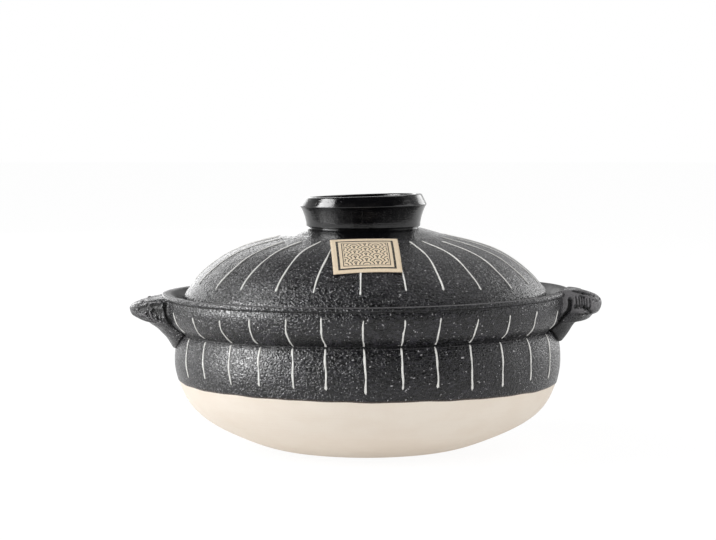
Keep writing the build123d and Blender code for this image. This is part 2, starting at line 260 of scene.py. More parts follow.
def outward_mesh(name: str, places: Points, faces: Points) -> bpy.types.Mesh:
    """A mesh of settled places in metres, whose faces look outwards.

    Which way they look comes from the volume by the divergence theorem, which has to be positive.

    Args:
        name: name of the mesh.
        places: (count, 3) array in millimetres, before it is settled.
        faces: (count, 4) array of vertex numbers, where a triangle repeats its last one.

    Returns:
        The mesh.
    """
    settled = THROWING.settle(places) * MILLIMETRE
    quads = settled[faces]
    doubled = np.cross(quads[:, 2] - quads[:, 0], quads[:, 3] - quads[:, 1])
    if (quads.mean(axis=1) * doubled).sum() < 0:
        faces = faces[:, ::-1]
    corners = [tuple(dict.fromkeys(face)) for face in faces.tolist()]
    mesh = bpy.data.meshes.new(name)
    mesh.from_pydata(settled.tolist(), [], [c for c in corners if len(c) > 2])
    return mesh


def add_mesh(name: str, places: Points, faces: Points, body: Body, finish: bpy.types.Material,
             replaced: tuple[str, ...] = (), values: dict[str, Points] | None = None) -> bpy.types.Object:
    """Args:
        name: name of the piece.
        places: (count, 3) array in millimetres, before it is settled.
        faces: (count, 4) array of vertex numbers, where a triangle repeats its last one.
        body: the body that the piece rides on.
        finish: its material.
        replaced: names of the nodes that it stands for.
        values: numbers for each vertex, by attribute name.

    Returns:
        The new object.
    """
    mesh = outward_mesh(name, places, faces)
    mesh.polygons.foreach_set("use_smooth", np.ones(len(mesh.polygons), bool))
    for label, numbers in (values or {}).items():
        kind, field = ("FLOAT_VECTOR", "vector") if numbers.ndim == 2 else ("FLOAT", "value")
        attribute = mesh.attributes.new(label, kind, "POINT")
        attribute.data.foreach_set(field, np.ascontiguousarray(numbers, np.float32).ravel())
    mesh.materials.append(finish)
    mesh.validate()
    mesh.update()
    piece = bpy.data.objects.new(name, mesh)
    bpy.context.scene.collection.objects.link(piece)
    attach(piece, body.value)
    if replaced:
        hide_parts(*replaced)
    log.info("%s: %d faces, rides on %s", name, len(mesh.polygons), body.value)
    return piece


def grid_faces(rows: int, columns: int, closed_rows: bool = False, first: int = 0) -> Points:
    """Faces of a grid whose columns run all the way round.

    Args:
        rows: how many rings the grid has.
        columns: how many vertices each ring has.
        closed_rows: whether the last ring joins the first one.
        first: number of the grid's first vertex.

    Returns:
        (count, 4) array of vertex numbers.
    """
    row = np.arange(rows if closed_rows else rows - 1)[:, None]
    column = np.arange(columns)[None]
    low, high = row * columns, (row + 1) % rows * columns
    after = (column + 1) % columns
    return np.stack([v.ravel() for v in np.broadcast_arrays(
        low + column, low + after, high + after, high + column)], axis=1) + first


def fan_faces(ring: int, columns: int, pole: int, flipped: bool) -> Points:
    """Triangles that close one ring of a grid with a pole, as four-sided faces that repeat the pole."""
    column = ring * columns + np.arange(columns)
    after = ring * columns + (np.arange(columns) + 1) % columns
    ends = (after, column) if flipped else (column, after)
    return np.stack((*ends, np.full(columns, pole), np.full(columns, pole)), axis=1)


def revolved(outline: Points, turns: int) -> Points:
    """The grid that an outline of (radius, height) sweeps round the axis.

    Args:
        outline: (rows, 2) array.
        turns: how many steps the round has.

    Returns:
        (rows, turns, 3) array: radius times cosine, radius times sine, height.
    """
    angle = np.linspace(0, 2 * pi, turns, endpoint=False)[None]
    radius, height = outline[:, :1], outline[:, 1:]
    return np.stack((radius * np.cos(angle), radius * np.sin(angle),
                     np.broadcast_to(height, (len(outline), turns))), axis=-1)


def closed_ring(grid: Points) -> tuple[Points, Points]:
    """Vertices and faces of a grid that is closed both ways, like a hoop."""
    rows, columns = grid.shape[:2]
    return grid.reshape(-1, 3), grid_faces(rows, columns, closed_rows=True)


def closed_with_poles(grid: Points, start: tuple[float, float, float] | None = None,
                      end: tuple[float, float, float] | None = None) -> tuple[Points, Points]:
    """Vertices and faces of a grid whose first and last rings are closed with a pole each.

    Args:
        grid: (rows, columns, 3) array.
        start: the first ring's pole, or None for the middle of the ring.
        end: the last ring's pole, likewise.

    Returns:
        The vertices and the faces.
    """
    rows, columns = grid.shape[:2]
    ends = ((grid[0], start), (grid[-1], end))
    poles = [ring.mean(axis=0) if pole is None else pole for ring, pole in ends]
    count = rows * columns
    faces = np.concatenate((grid_faces(rows, columns), fan_faces(0, columns, count, True),
                            fan_faces(rows - 1, columns, count + 1, False)))
    return np.concatenate((grid.reshape(-1, 3), np.array(poles, float))), faces


def turned_solid(outline: Points, turns: int, start: float, end: float) -> tuple[Points, Points]:
    """Vertices and faces of an outline turned round the axis and closed on it at two heights."""
    return closed_with_poles(revolved(outline, turns), (0, 0, start), (0, 0, end))


class NodeTree:
    """A small builder for the node tree of one finish."""

    def __init__(self, name: str) -> None:
        """Start a material with one Principled shader."""
        self.material = bpy.data.materials.new(name)
        self.material.use_nodes = True
        self.tree = self.material.node_tree
        self.tree.nodes.clear()
        self.shader = self.add("ShaderNodeBsdfPrincipled")
        output = self.add("ShaderNodeOutputMaterial")
        self.tree.links.new(self.shader.outputs["BSDF"], output.inputs["Surface"])
        self.place = self.add("ShaderNodeTexCoord").outputs["Object"]

    def add(self, kind: str, **settings: object) -> bpy.types.Node:
        """Add a node and set its properties by name."""
        node = self.tree.nodes.new(kind)
        for key, value in settings.items():
            setattr(node, key, value)
        return node

    def feed(self, socket: bpy.types.NodeSocket, value: object) -> None:
        """Link a socket to an output, or set it to a plain value."""
        if isinstance(value, bpy.types.NodeSocket):
            self.tree.links.new(value, socket)
        else:
            socket.default_value = value

    def shade(self, **inputs: object) -> None:
        """Feed the shader's sockets, whose names are written with underscores."""
        for key, value in inputs.items():
            self.feed(self.shader.inputs[key.replace("_", " ")], value)

    def scaled(self, size: tuple[float, float, float]) -> bpy.types.NodeSocket:
        """Object coordinates divided by a size in millimetres along each axis."""
        node = self.add("ShaderNodeMapping")
        self.feed(node.inputs["Vector"], self.place)
        node.inputs["Scale"].default_value = tuple(1 / (s * MILLIMETRE) for s in size)
        return node.outputs["Vector"]

    def _noise_node(self, vector: bpy.types.NodeSocket, detail: float) -> bpy.types.Node:
        """A noise texture of one grain per unit of a vector."""
        node = self.add("ShaderNodeTexNoise")
        self.feed(node.inputs["Vector"], vector)
        node.inputs["Scale"].default_value = 1.0
        node.inputs["Detail"].default_value = detail
        return node

    def noise(self, size: tuple[float, float, float], detail: float = 3.0,
              roughness: float = 0.55) -> bpy.types.NodeSocket:
        """Soft noise whose grains have a size in millimetres along each axis."""
        node = self._noise_node(self.scaled(size), detail)
        node.inputs["Roughness"].default_value = roughness
        return node.outputs["Fac"]

    def parts(self, vector: bpy.types.NodeSocket) -> tuple[bpy.types.NodeSocket, ...]:
        """The X, Y and Z of a vector."""
        split = self.add("ShaderNodeSeparateXYZ")
        self.feed(split.inputs[0], vector)
        return tuple(split.outputs)

    def radius(self, x: float = 0.0, y: float = 0.0) -> bpy.types.NodeSocket:
        """Distance in metres from the upright axis through x and y, given in millimetres."""
        moved = self.vector_maths("SUBTRACT", self.place, (x * MILLIMETRE, y * MILLIMETRE, 0))
        flat = self.vector_maths("MULTIPLY", moved, (1, 1, 0))
        return self.vector_maths("LENGTH", flat)

    def turned_noise(self, length: float, width: float) -> bpy.types.NodeSocket:
        """Noise in short streaks that run round the axis, as turning leaves them.

        Its place is the direction from the axis, times 100 mm over the streak's length, and the radius
        less the height, over its width.

        Args:
            length: length of a streak at 100 mm from the axis, in millimetres.
            width: width of a streak, in millimetres.

        Returns:
            The noise.
        """
        x, y, height = self.parts(self.place)
        radius = self.radius()
        turns = 100.0 / length
        level = self.maths("DIVIDE", self.minus(radius, height), width * MILLIMETRE)
        join = self.add("ShaderNodeCombineXYZ")
        for socket, value in zip(join.inputs, (
                *(self.times(self.maths("DIVIDE", side, radius), turns) for side in (x, y)), level)):
            self.feed(socket, value)
        return self._noise_node(join.outputs[0], 2.0).outputs["Fac"]

    def cells(self, size: float, smoothness: float = 0.6) -> bpy.types.NodeSocket:
        """Distance to the middle of the nearest of scattered cells of a size in millimetres."""
        node = self.add("ShaderNodeTexVoronoi", feature="SMOOTH_F1")
        self.feed(node.inputs["Vector"], self.scaled((size, size, size)))
        node.inputs["Scale"].default_value = 1.0
        node.inputs["Smoothness"].default_value = smoothness
        return node.outputs["Distance"]

    def remap(self, value: bpy.types.NodeSocket, low: float, high: float, new_low: float = 0.0,
              new_high: float = 1.0) -> bpy.types.NodeSocket:
        """Map a range of values to another, clamped and eased."""
        node = self.add("ShaderNodeMapRange", interpolation_type="SMOOTHSTEP")
        for socket, number in zip(node.inputs[:5], (value, low, high, new_low, new_high)):
            self.feed(socket, number)
        return node.outputs["Result"]

    def maths(self, kind: str, first: object, second: object = 0.0) -> bpy.types.NodeSocket:
        """One arithmetic step on two values."""
        node = self.add("ShaderNodeMath", operation=kind)
        self.feed(node.inputs[0], first)
        self.feed(node.inputs[1], second)
        return node.outputs["Value"]

    def times(self, first: object, second: object) -> bpy.types.NodeSocket:
        """The product of two values."""
        return self.maths("MULTIPLY", first, second)

    def plus(self, first: object, second: object) -> bpy.types.NodeSocket:
        """The sum of two values."""
        return self.maths("ADD", first, second)

    def minus(self, first: object, second: object) -> bpy.types.NodeSocket:
        """The first value less the second."""
        return self.maths("SUBTRACT", first, second)

    def vector_maths(self, kind: str, first: object, second: object = (0, 0, 0)) -> bpy.types.NodeSocket:
        """One arithmetic step on two vectors."""
        node = self.add("ShaderNodeVectorMath", operation=kind)
        self.feed(node.inputs[0], first)
        self.feed(node.inputs[1], second)
        return node.outputs["Value" if kind == "LENGTH" else "Vector"]

    def blend(self, share: object, first: object, second: object) -> bpy.types.NodeSocket:
        """Mix two colours by a share."""
        node = self.add("ShaderNodeMix", data_type="RGBA")
        for name, value in (("Factor_Float", share), ("A_Color", first), ("B_Color", second)):
            socket = next(s for s in node.inputs if s.identifier == name)
            self.feed(socket, value)
        return next(s for s in node.outputs if s.identifier == "Result_Color")

    def value_of(self, attribute: str) -> bpy.types.NodeSocket:
        """A number that the piece stores for each vertex."""
        return self.add("ShaderNodeAttribute", attribute_name=attribute).outputs["Fac"]

    def bump(self, height: bpy.types.NodeSocket, depth: float, under: bpy.types.NodeSocket | None = None,
             strength: float = 1.0) -> bpy.types.NodeSocket:
        """A bumped normal whose relief is a depth in millimetres, laid over another one."""
        node = self.add("ShaderNodeBump")
        node.inputs["Strength"].default_value = strength
        node.inputs["Distance"].default_value = depth * MILLIMETRE
        self.feed(node.inputs["Height"], height)
        if under is not None:
            self.feed(node.inputs["Normal"], under)
        return node.outputs["Normal"]


def colour(red: int, green: int, blue: int) -> tuple[float, float, float, float]:
    """A linear colour from its eight-bit screen values."""
    return (*(float(((c / 255 + 0.055) / 1.055) ** 2.4) for c in (red, green, blue)), 1.0)


@dataclass(frozen=True)
class MattGlaze:
    """Matt black iron glaze: worm-like wrinkles, dimples and turned streaks with pale grains, which are
    partly the glaze's own and partly painted glints.

    It is smoother round the knob and plain black there, partly a blacker glaze and partly the knob's painted
    shade. Where the hollow attribute is above 0 it has painted shade, in creases, grooves and joints, and
    where it is below 0 painted highlights, which on raised cords are partly real wear. It is brown where it
    thins at its edge. Sizes and depths are in millimetres. A range says which values of a texture or
    attribute are mapped, and to what if that isn't 0 to 1.
    """

    black: tuple[float, ...] = colour(8, 8, 10)
    grey: tuple[float, ...] = colour(40, 39, 44)
    # Pale specks: partly the glaze's own grains, partly painted glints of its bumps.
    pale: tuple[float, ...] = colour(178, 176, 178)
    # Painted highlights where the hollow attribute is below 0: below the crease, on the lip's crest and on
    # the lugs' tops, faces and bridge; on raised cords partly real wear.
    worn: tuple[float, ...] = colour(112, 110, 112)
    edge: tuple[float, ...] = colour(66, 52, 42)
    # Painted shade: black where the hollow attribute is above 0, in the crease, the groove under the lip and
    # the lugs' grooves, joints and neck.
    painted_shade_black: tuple[float, ...] = colour(8, 8, 9)
    streak_range: tuple[float, ...] = (0.50, 0.62)
    cloud_range: tuple[float, ...] = (0.45, 0.62, 0.0, 0.3)
    speck_range: tuple[float, ...] = (0.68, 0.73, 0.0, 0.9)
    highlight_and_wear_range: tuple[float, ...] = (-0.7, -0.15, 0.75, 0.0)
    painted_shade_range: tuple[float, ...] = (0.15, 0.9)
    edge_range: tuple[float, ...] = (0.2, 1.6, 1.0, 0.0)
    # Within this radius the colour is plain black: partly a blacker glaze round the knob, partly the knob's
    # painted shade.
    knob_range: tuple[float, ...] = (51.0 * MILLIMETRE, 60.0 * MILLIMETRE)
    rough_range: tuple[float, ...] = (0.3, 0.7, 0.20, 0.36)
    knob_smoothing: float = 0.14
    mark_roughness: float = 0.4
    cloud_size: tuple[float, ...] = (22.0, 22.0, 14.0)
    speck_size: tuple[float, ...] = (1.9, 1.9, 1.5)
    worm_size: float = 3.0
    worm_reach: float = 0.09
    worm_depth: float = 0.24
    streak_length: float = 3.2
    streak_width: float = 0.9
    streak_depth: float = 0.24
    dimple_size: float = 1.7
    dimple_range: tuple[float, ...] = (0.1, 0.55)
    dimple_depth: float = 0.18
    grain_size: float = 0.9
    grain_depth: float = 0.05

    def material(self) -> bpy.types.Material:
        """Build the material from a base colour, a relief and a roughness."""
        nodes = NodeTree("matt_black_glaze")
        speck = nodes.noise(self.speck_size, 1.5, 0.6)
        streak = nodes.turned_noise(self.streak_length, self.streak_width)
        away = nodes.remap(nodes.radius(), *self.knob_range)
        # Painted shade of creases, grooves and joints, from the hollow attribute above 0.
        hollow = nodes.remap(nodes.value_of("hollow"), *self.painted_shade_range)
        # Painted highlights from the hollow attribute below 0, on raised cords partly real wear.
        worn = nodes.remap(nodes.value_of("hollow"), *self.highlight_and_wear_range)
        base = nodes.blend(nodes.remap(streak, *self.streak_range), self.black, self.grey)
        base = nodes.blend(nodes.remap(nodes.noise(self.cloud_size, 4.0), *self.cloud_range), base, self.grey)
        # Pale specks, partly the glaze's own grains and partly painted glints.
        base = nodes.blend(nodes.remap(speck, *self.speck_range), base, self.pale)
        # Plain black round the knob: partly a blacker glaze there, partly the knob's painted shade.
        base = nodes.blend(away, self.black, base)
        # Painted highlights, on raised cords partly real wear.
        base = nodes.blend(worn, base, self.worn)
        base = nodes.blend(nodes.remap(nodes.value_of("from_edge"), *self.edge_range), base, self.edge)
        # Painted shade over the colour in creases, grooves and joints.
        base = nodes.blend(hollow, base, self.painted_shade_black)
        vein = nodes.maths("ABSOLUTE", nodes.minus(nodes.noise((self.worm_size,) * 3, 2.0), 0.5))
        normal = nodes.bump(nodes.times(nodes.remap(vein, 0.0, self.worm_reach), away), self.worm_depth)
        normal = nodes.bump(nodes.times(streak, away), self.streak_depth, normal)
        dimples = nodes.remap(nodes.cells(self.dimple_size), *self.dimple_range)
        normal = nodes.bump(dimples, self.dimple_depth, normal)
        normal = nodes.bump(nodes.noise((self.grain_size,) * 3, 1.0), self.grain_depth, normal)
        rough = nodes.minus(nodes.remap(speck, *self.rough_range), self.knob_smoothing)
        rough = nodes.plus(nodes.times(away, self.knob_smoothing), rough)
        rough = nodes.plus(rough, nodes.times(nodes.plus(hollow, worn), self.mark_roughness))
        nodes.shade(Base_Color=base, Roughness=rough, Normal=normal)
        return nodes.material


@dataclass(frozen=True)
class GlossGlaze:
    """Glossy black glaze, as on the knob and inside: nearly smooth, with faint turning rings and pinholes."""

    name: str = "gloss_black_glaze"
    black: tuple[float, ...] = colour(8, 8, 10)
    warm: tuple[float, ...] = colour(17, 16, 17)
    roughness: tuple[float, float] = (0.09, 0.20)

    def material(self) -> bpy.types.Material:
        """Build the material."""
        nodes = NodeTree(self.name)
        cloud = nodes.noise((9.0, 9.0, 4.0), 4.0)
        rings = nodes.noise((16.0, 16.0, 1.1), 2.0)
        holes = nodes.remap(nodes.cells(2.6, 0.2), 0.05, 0.22)
        normal = nodes.bump(nodes.noise((1.8, 1.8, 1.0), 2.0), 0.05)
        normal = nodes.bump(rings, 0.07, normal)
        normal = nodes.bump(holes, 0.05, normal)
        nodes.shade(Base_Color=nodes.blend(nodes.remap(cloud, 0.4, 0.65), self.black, self.warm),
                    Roughness=nodes.remap(cloud, 0.35, 0.7, *self.roughness), Normal=normal)
        return nodes.material


@dataclass(frozen=True)
class BareClay:
    """Unglazed pale stoneware: fine sand, scattered darker grog, and faint turning lines.

    Painted shade turns it black in deep recesses: outside a ring through the lid's seat and the gallery's
    ledge, and in the steam hole. The painted shade's lengths are in millimetres.
    """

    pale: tuple[float, ...] = colour(233, 223, 210)
    warm: tuple[float, ...] = colour(226, 213, 198)
    grog: tuple[float, ...] = colour(196, 176, 156)
    # Painted shade of the deep recesses: black over the clay.
    recess_shade: tuple[float, ...] = colour(20, 20, 22)
    recess_shade_inset: float = 1.2
    recess_shade_fade: float = 0.3
    recess_shade_drop: float = 6.0
    recess_shade_drop_fade: float = 1.0
    hole_reach: float = 4.6
    hole_fade: float = 0.4

    def material(self) -> bpy.types.Material:
        """Build the material."""
        nodes = NodeTree("bare_clay")
        cloud = nodes.noise((34.0, 34.0, 20.0), 4.0)
        lines = nodes.noise((60.0, 60.0, 0.9), 2.0)
        sand = nodes.noise((0.55, 0.55, 0.55), 2.0, 0.7)
        base = nodes.blend(nodes.remap(cloud, 0.35, 0.65, 0.0, 0.5), self.pale, self.warm)
        base = nodes.blend(nodes.remap(lines, 0.5, 0.75, 0.0, 0.25), base, self.warm)
        base = nodes.blend(nodes.remap(sand, 0.63, 0.78, 0.0, 0.45), base, self.grog)
        normal = nodes.bump(sand, 0.06, nodes.bump(lines, 0.05))
        # Painted shade of the deep recesses over the clay's colour.
        nodes.shade(Base_Color=nodes.blend(self._recess_shaded(nodes), base, self.recess_shade),
                    Roughness=nodes.remap(sand, 0.3, 0.7, 0.78, 0.92), Normal=normal)
        return nodes.material

    def _recess_shaded(self, nodes: NodeTree) -> bpy.types.NodeSocket:
        """Where the painted shade lies: outside its ring or near the steam hole, and above its lowest place.
        """
        lid_radius = corner("lid_outer_glaze", True, 0)
        edge = lid_radius - self.recess_shade_inset
        low = corner("lid_dome", False, 2) - self.recess_shade_drop
        outside = nodes.remap(nodes.radius(), *(r * MILLIMETRE for r in (edge - self.recess_shade_fade,
                                                                         edge + self.recess_shade_fade)))
        hole_x, hole_y = Lid.hole_middle(lid_radius)
        near = nodes.remap(nodes.radius(hole_x, hole_y), (self.hole_reach - self.hole_fade) * MILLIMETRE,
                           self.hole_reach * MILLIMETRE, 1.0, 0.0)
        height = nodes.parts(nodes.place)[2]
        above = nodes.remap(height, (low - self.recess_shade_drop_fade) * MILLIMETRE, low * MILLIMETRE)
        return nodes.times(nodes.maths("MAXIMUM", outside, near), above)


@dataclass(frozen=True)
class WhiteSlip:
    """Trailed white slip under a thin clear coat, a little uneven in cover."""

    white: tuple[float, ...] = colour(224, 223, 219)
    thin: tuple[float, ...] = colour(196, 194, 190)

    def material(self) -> bpy.types.Material:
        """Build the material."""
        nodes = NodeTree("white_slip")
        cover = nodes.noise((2.4, 2.4, 2.4), 3.0)
        grain = nodes.noise((0.5, 0.5, 0.5), 1.0)
        nodes.shade(Base_Color=nodes.blend(nodes.remap(cover, 0.58, 0.74, 0.0, 0.7), self.white, self.thin),
                    Roughness=0.42, Normal=nodes.bump(grain, 0.05))
        return nodes.material


@dataclass(frozen=True)
class KraftPaper:
    """Kraft paper with pale fibres, and a generic print of waves inside a ruled frame.

    The print follows the piece's own attribute "paper": x across and y up from the middle, in millimetres.
    """

    paper: tuple[float, ...] = colour(216, 197, 169)
    fibre: tuple[float, ...] = colour(227, 209, 181)
    fleck: tuple[float, ...] = colour(168, 143, 110)
    ink: tuple[float, ...] = colour(26, 19, 16)
    frame_inset: float = 4.2
    frame_width: float = 1.5
    print_margin: float = 8.0
    wave_radius: float = 7.2
    wave_rings: int = 3
    ring_share: float = 0.16
    fan_share: float = 1.03

    def material(self, width: float, length: float) -> bpy.types.Material:
        """Build the material.

        Args:
            width: width of the label.
            length: length of the label.

        Returns:
            The material.
        """
        nodes = NodeTree("kraft_paper")
        fibres = nodes.noise((0.8, 4.0, 2.0), 3.0, 0.7)
        flecks = nodes.noise((1.1, 1.1, 1.1), 2.0, 0.75)
        base = nodes.blend(nodes.remap(fibres, 0.4, 0.68), self.paper, self.fibre)
        base = nodes.blend(nodes.remap(flecks, 0.66, 0.76, 0.0, 0.7), base, self.fleck)
        place = nodes.add("ShaderNodeAttribute", attribute_name="paper").outputs["Vector"]
        across, up, front = nodes.parts(place)
        from_side = nodes.minus(width / 2, nodes.maths("ABSOLUTE", across))
        from_end = nodes.minus(length / 2, nodes.maths("ABSOLUTE", up))
        inset = nodes.maths("MINIMUM", from_side, from_end)
        ink = nodes.maths("MAXIMUM", self._frame(nodes, inset), self._waves(nodes, across, up, inset))
        worn = nodes.remap(nodes.noise((0.7, 0.7, 0.7), 3.0, 0.7), 0.30, 0.42)
        ink = nodes.times(nodes.times(ink, worn), front)
        nodes.shade(Base_Color=nodes.blend(ink, base, self.ink), Roughness=0.8,
                    Normal=nodes.bump(fibres, 0.05))
        return nodes.material

    def _frame(self, nodes: NodeTree, inset: bpy.types.NodeSocket) -> bpy.types.NodeSocket:
        """Two ruled lines at their distances from the label's edge, a broad one and a fine one inside it."""
        broad = nodes.maths("COMPARE", inset, self.frame_inset)
        broad.node.inputs[2].default_value = self.frame_width / 2
        fine = nodes.maths("COMPARE", inset, self.frame_inset + 2 * self.frame_width)
        fine.node.inputs[2].default_value = self.frame_width / 5
        return nodes.maths("MAXIMUM", broad, fine)

    def _waves(self, nodes: NodeTree, across: bpy.types.NodeSocket, up: bpy.types.NodeSocket,
               inset: bpy.types.NodeSocket) -> bpy.types.NodeSocket:
        """Overlapping fans of rings in staggered rows, the lower row in front, inside the frame."""
        rise = self.wave_radius / 2
        row = nodes.maths("FLOOR", nodes.maths("DIVIDE", up, rise))
        ink = 0.0
        for down in (2, 1, 0):
            level = nodes.minus(row, float(down))
            stagger = nodes.times(nodes.maths("PINGPONG", level, 1.0), self.wave_radius)
            side = nodes.maths("PINGPONG", nodes.plus(across, stagger), self.wave_radius)
            height = nodes.minus(up, nodes.times(level, rise))
            squares = [nodes.maths("POWER", part, 2.0) for part in (side, height)]
            reach = nodes.maths("SQRT", nodes.plus(*squares))
            ring = nodes.maths("PINGPONG", nodes.times(reach, self.wave_rings / self.wave_radius), 0.5)
            within = nodes.maths("LESS_THAN", reach, self.wave_radius * self.fan_share)
            drawn = nodes.times(nodes.maths("LESS_THAN", ring, self.ring_share), within)
            ink = nodes.maths("MAXIMUM", nodes.times(ink, nodes.minus(1.0, within)), drawn)
        return nodes.times(ink, nodes.maths("GREATER_THAN", inset, self.print_margin))


@dataclass(frozen=True)
class Finishes:
    """The materials that the pieces share."""

    clay: bpy.types.Material
    matt: bpy.types.Material
    gloss: bpy.types.Material
    satin: bpy.types.Material
    slip: bpy.types.Material

    @classmethod
    def made(cls) -> "Finishes":
        """Build each shared material once."""
        # The satin glaze's colour, lighter than the other black glazes, is painted sheen for the gallery
        # inside the rim.
        satin = GlossGlaze("satin_black_glaze", colour(30, 30, 33), colour(38, 37, 38), (0.50, 0.60))
        return cls(BareClay().material(), MattGlaze().material(), GlossGlaze().material(), satin.material(),
                   WhiteSlip().material())


UNDERLAP = 0.05
NO_EDGE = 50.0


def thinning(outline: Points, thickness: float, edge_run: float) -> Points:
    """How thick a coat is along its outline: full, but rolled down over a short run at its first end."""
    share = np.clip(travelled(outline) / edge_run, 0, 1)
    return thickness * np.sin(share * pi / 2) ** 0.7


def coat_sides(face: Points, normal: Points, thickness: float, edge_run: float) -> tuple[Points, Points]:
    """Both sides of a coat of glaze on clay.

    Args:
        face: outline of the coat where it is full, from its rolled edge on.
        normal: unit normals out of the clay.
        thickness: how thick the coat is where it is full.
        edge_run: length over which it is rolled down.

    Returns:
        The side in the clay, a little below the clay's own outline, and the side that shows.
    """
    clay = face - normal * (thickness + UNDERLAP)
    return clay, clay + normal * (UNDERLAP + thinning(face, thickness, edge_run))[:, None]


@dataclass(frozen=True)
class SlipLine:
    """One raised line of trailed slip on an outline that is turned round the axis.

    The line follows the outline at an angle that leans and wavers along it. Its section is a low oval whose
    lower part lies in the glaze, and it narrows to round ends with a small blob.
    """

    angle: float
    lean: float
    width: float
    height: float
    waver: float
    seed: int
    blob_range: tuple[float, float] = (0.1, 0.45)
    end_share: float = 0.03
    sunk_share: float = 0.45

    def ring_grid(self, outline: Points, around: int = 10) -> Points:
        """Rings of the line along an outline.

        Args:
            outline: (rows, 2) array of radius and height, in the order that the line is drawn.
            around: how many vertices each ring has.

        Returns:
            (rows, around, 3) array: middle plus side times cosine plus normal times sine.
        """
        luck = np.random.RandomState(self.seed)
        run = travelled(outline)
        share = run / run[-1]
        phase = luck.uniform(0, 2 * pi, 4)
        sway = (np.sin(share * 5.1 + phase[0]) + 0.6 * np.sin(share * 11.3 + phase[1])) * self.waver
        turn = radians(self.angle) + radians(self.lean) * share + sway / outline[:, 0]
        broad = 1 + 0.16 * np.sin(share * 9.0 + phase[2]) + 0.10 * np.sin(share * 21.0 + phase[3])
        ends = np.sqrt(np.clip(np.minimum(run, run[-1] - run) / self.width, self.end_share, 1))
        blob = 1 + luck.uniform(*self.blob_range) * bell(run - self.width, self.width)
        half = self.width / 2 * broad * ends * blob
        normal = normals_of(outline)
        out = np.stack((np.cos(turn), np.sin(turn)), axis=1)
        middle = np.column_stack((outline[:, :1] * out, outline[:, 1]))
        up = np.column_stack((normal[:, :1] * out, normal[:, 1]))
        side = np.cross(np.gradient(middle, axis=0), up)
        side /= np.linalg.norm(side, axis=1)[:, None]
        sweep = np.linspace(0, 2 * pi, around, endpoint=False)
        lift = np.where(np.sin(sweep) > 0, self.height, self.height * self.sunk_share) * np.sin(sweep)
        return (middle[:, None] + side[:, None] * half[:, None, None] * np.cos(sweep)[None, :, None]
                + up[:, None] * (ends * broad)[:, None, None] * lift[None, :, None])


def add_slip_lines(name: str, lines: list[tuple[SlipLine, Points]], body: Body, finish: bpy.types.Material,
                   replaced: str) -> bpy.types.Object:
    """Join several slip lines, each with its outline, in one piece."""
    places, faces, count = [], [], 0
    for line, outline in lines:
        grid = line.ring_grid(outline)
        vertices, quads = closed_with_poles(grid)
        places.append(vertices)
        faces.append(quads + count)
        count += len(vertices)
    return add_mesh(name, np.concatenate(places), np.concatenate(faces), body, finish, (replaced,))


def outline_part(outline: Points, low: float, high: float, step: float = 0.7) -> Points:
    """The stretch of an outline between two lengths along it, in even steps."""
    run = travelled(outline)
    wanted = np.linspace(low, high, max(8, round((high - low) / step)))
    return np.stack((np.interp(wanted, run, outline[:, 0]), np.interp(wanted, run, outline[:, 1])), axis=1)


def run_at_height(outline: Points, height: float) -> float:
    """Length along a rising outline at which it reaches a height."""
    return float(np.interp(height, outline[:, 1], travelled(outline)))


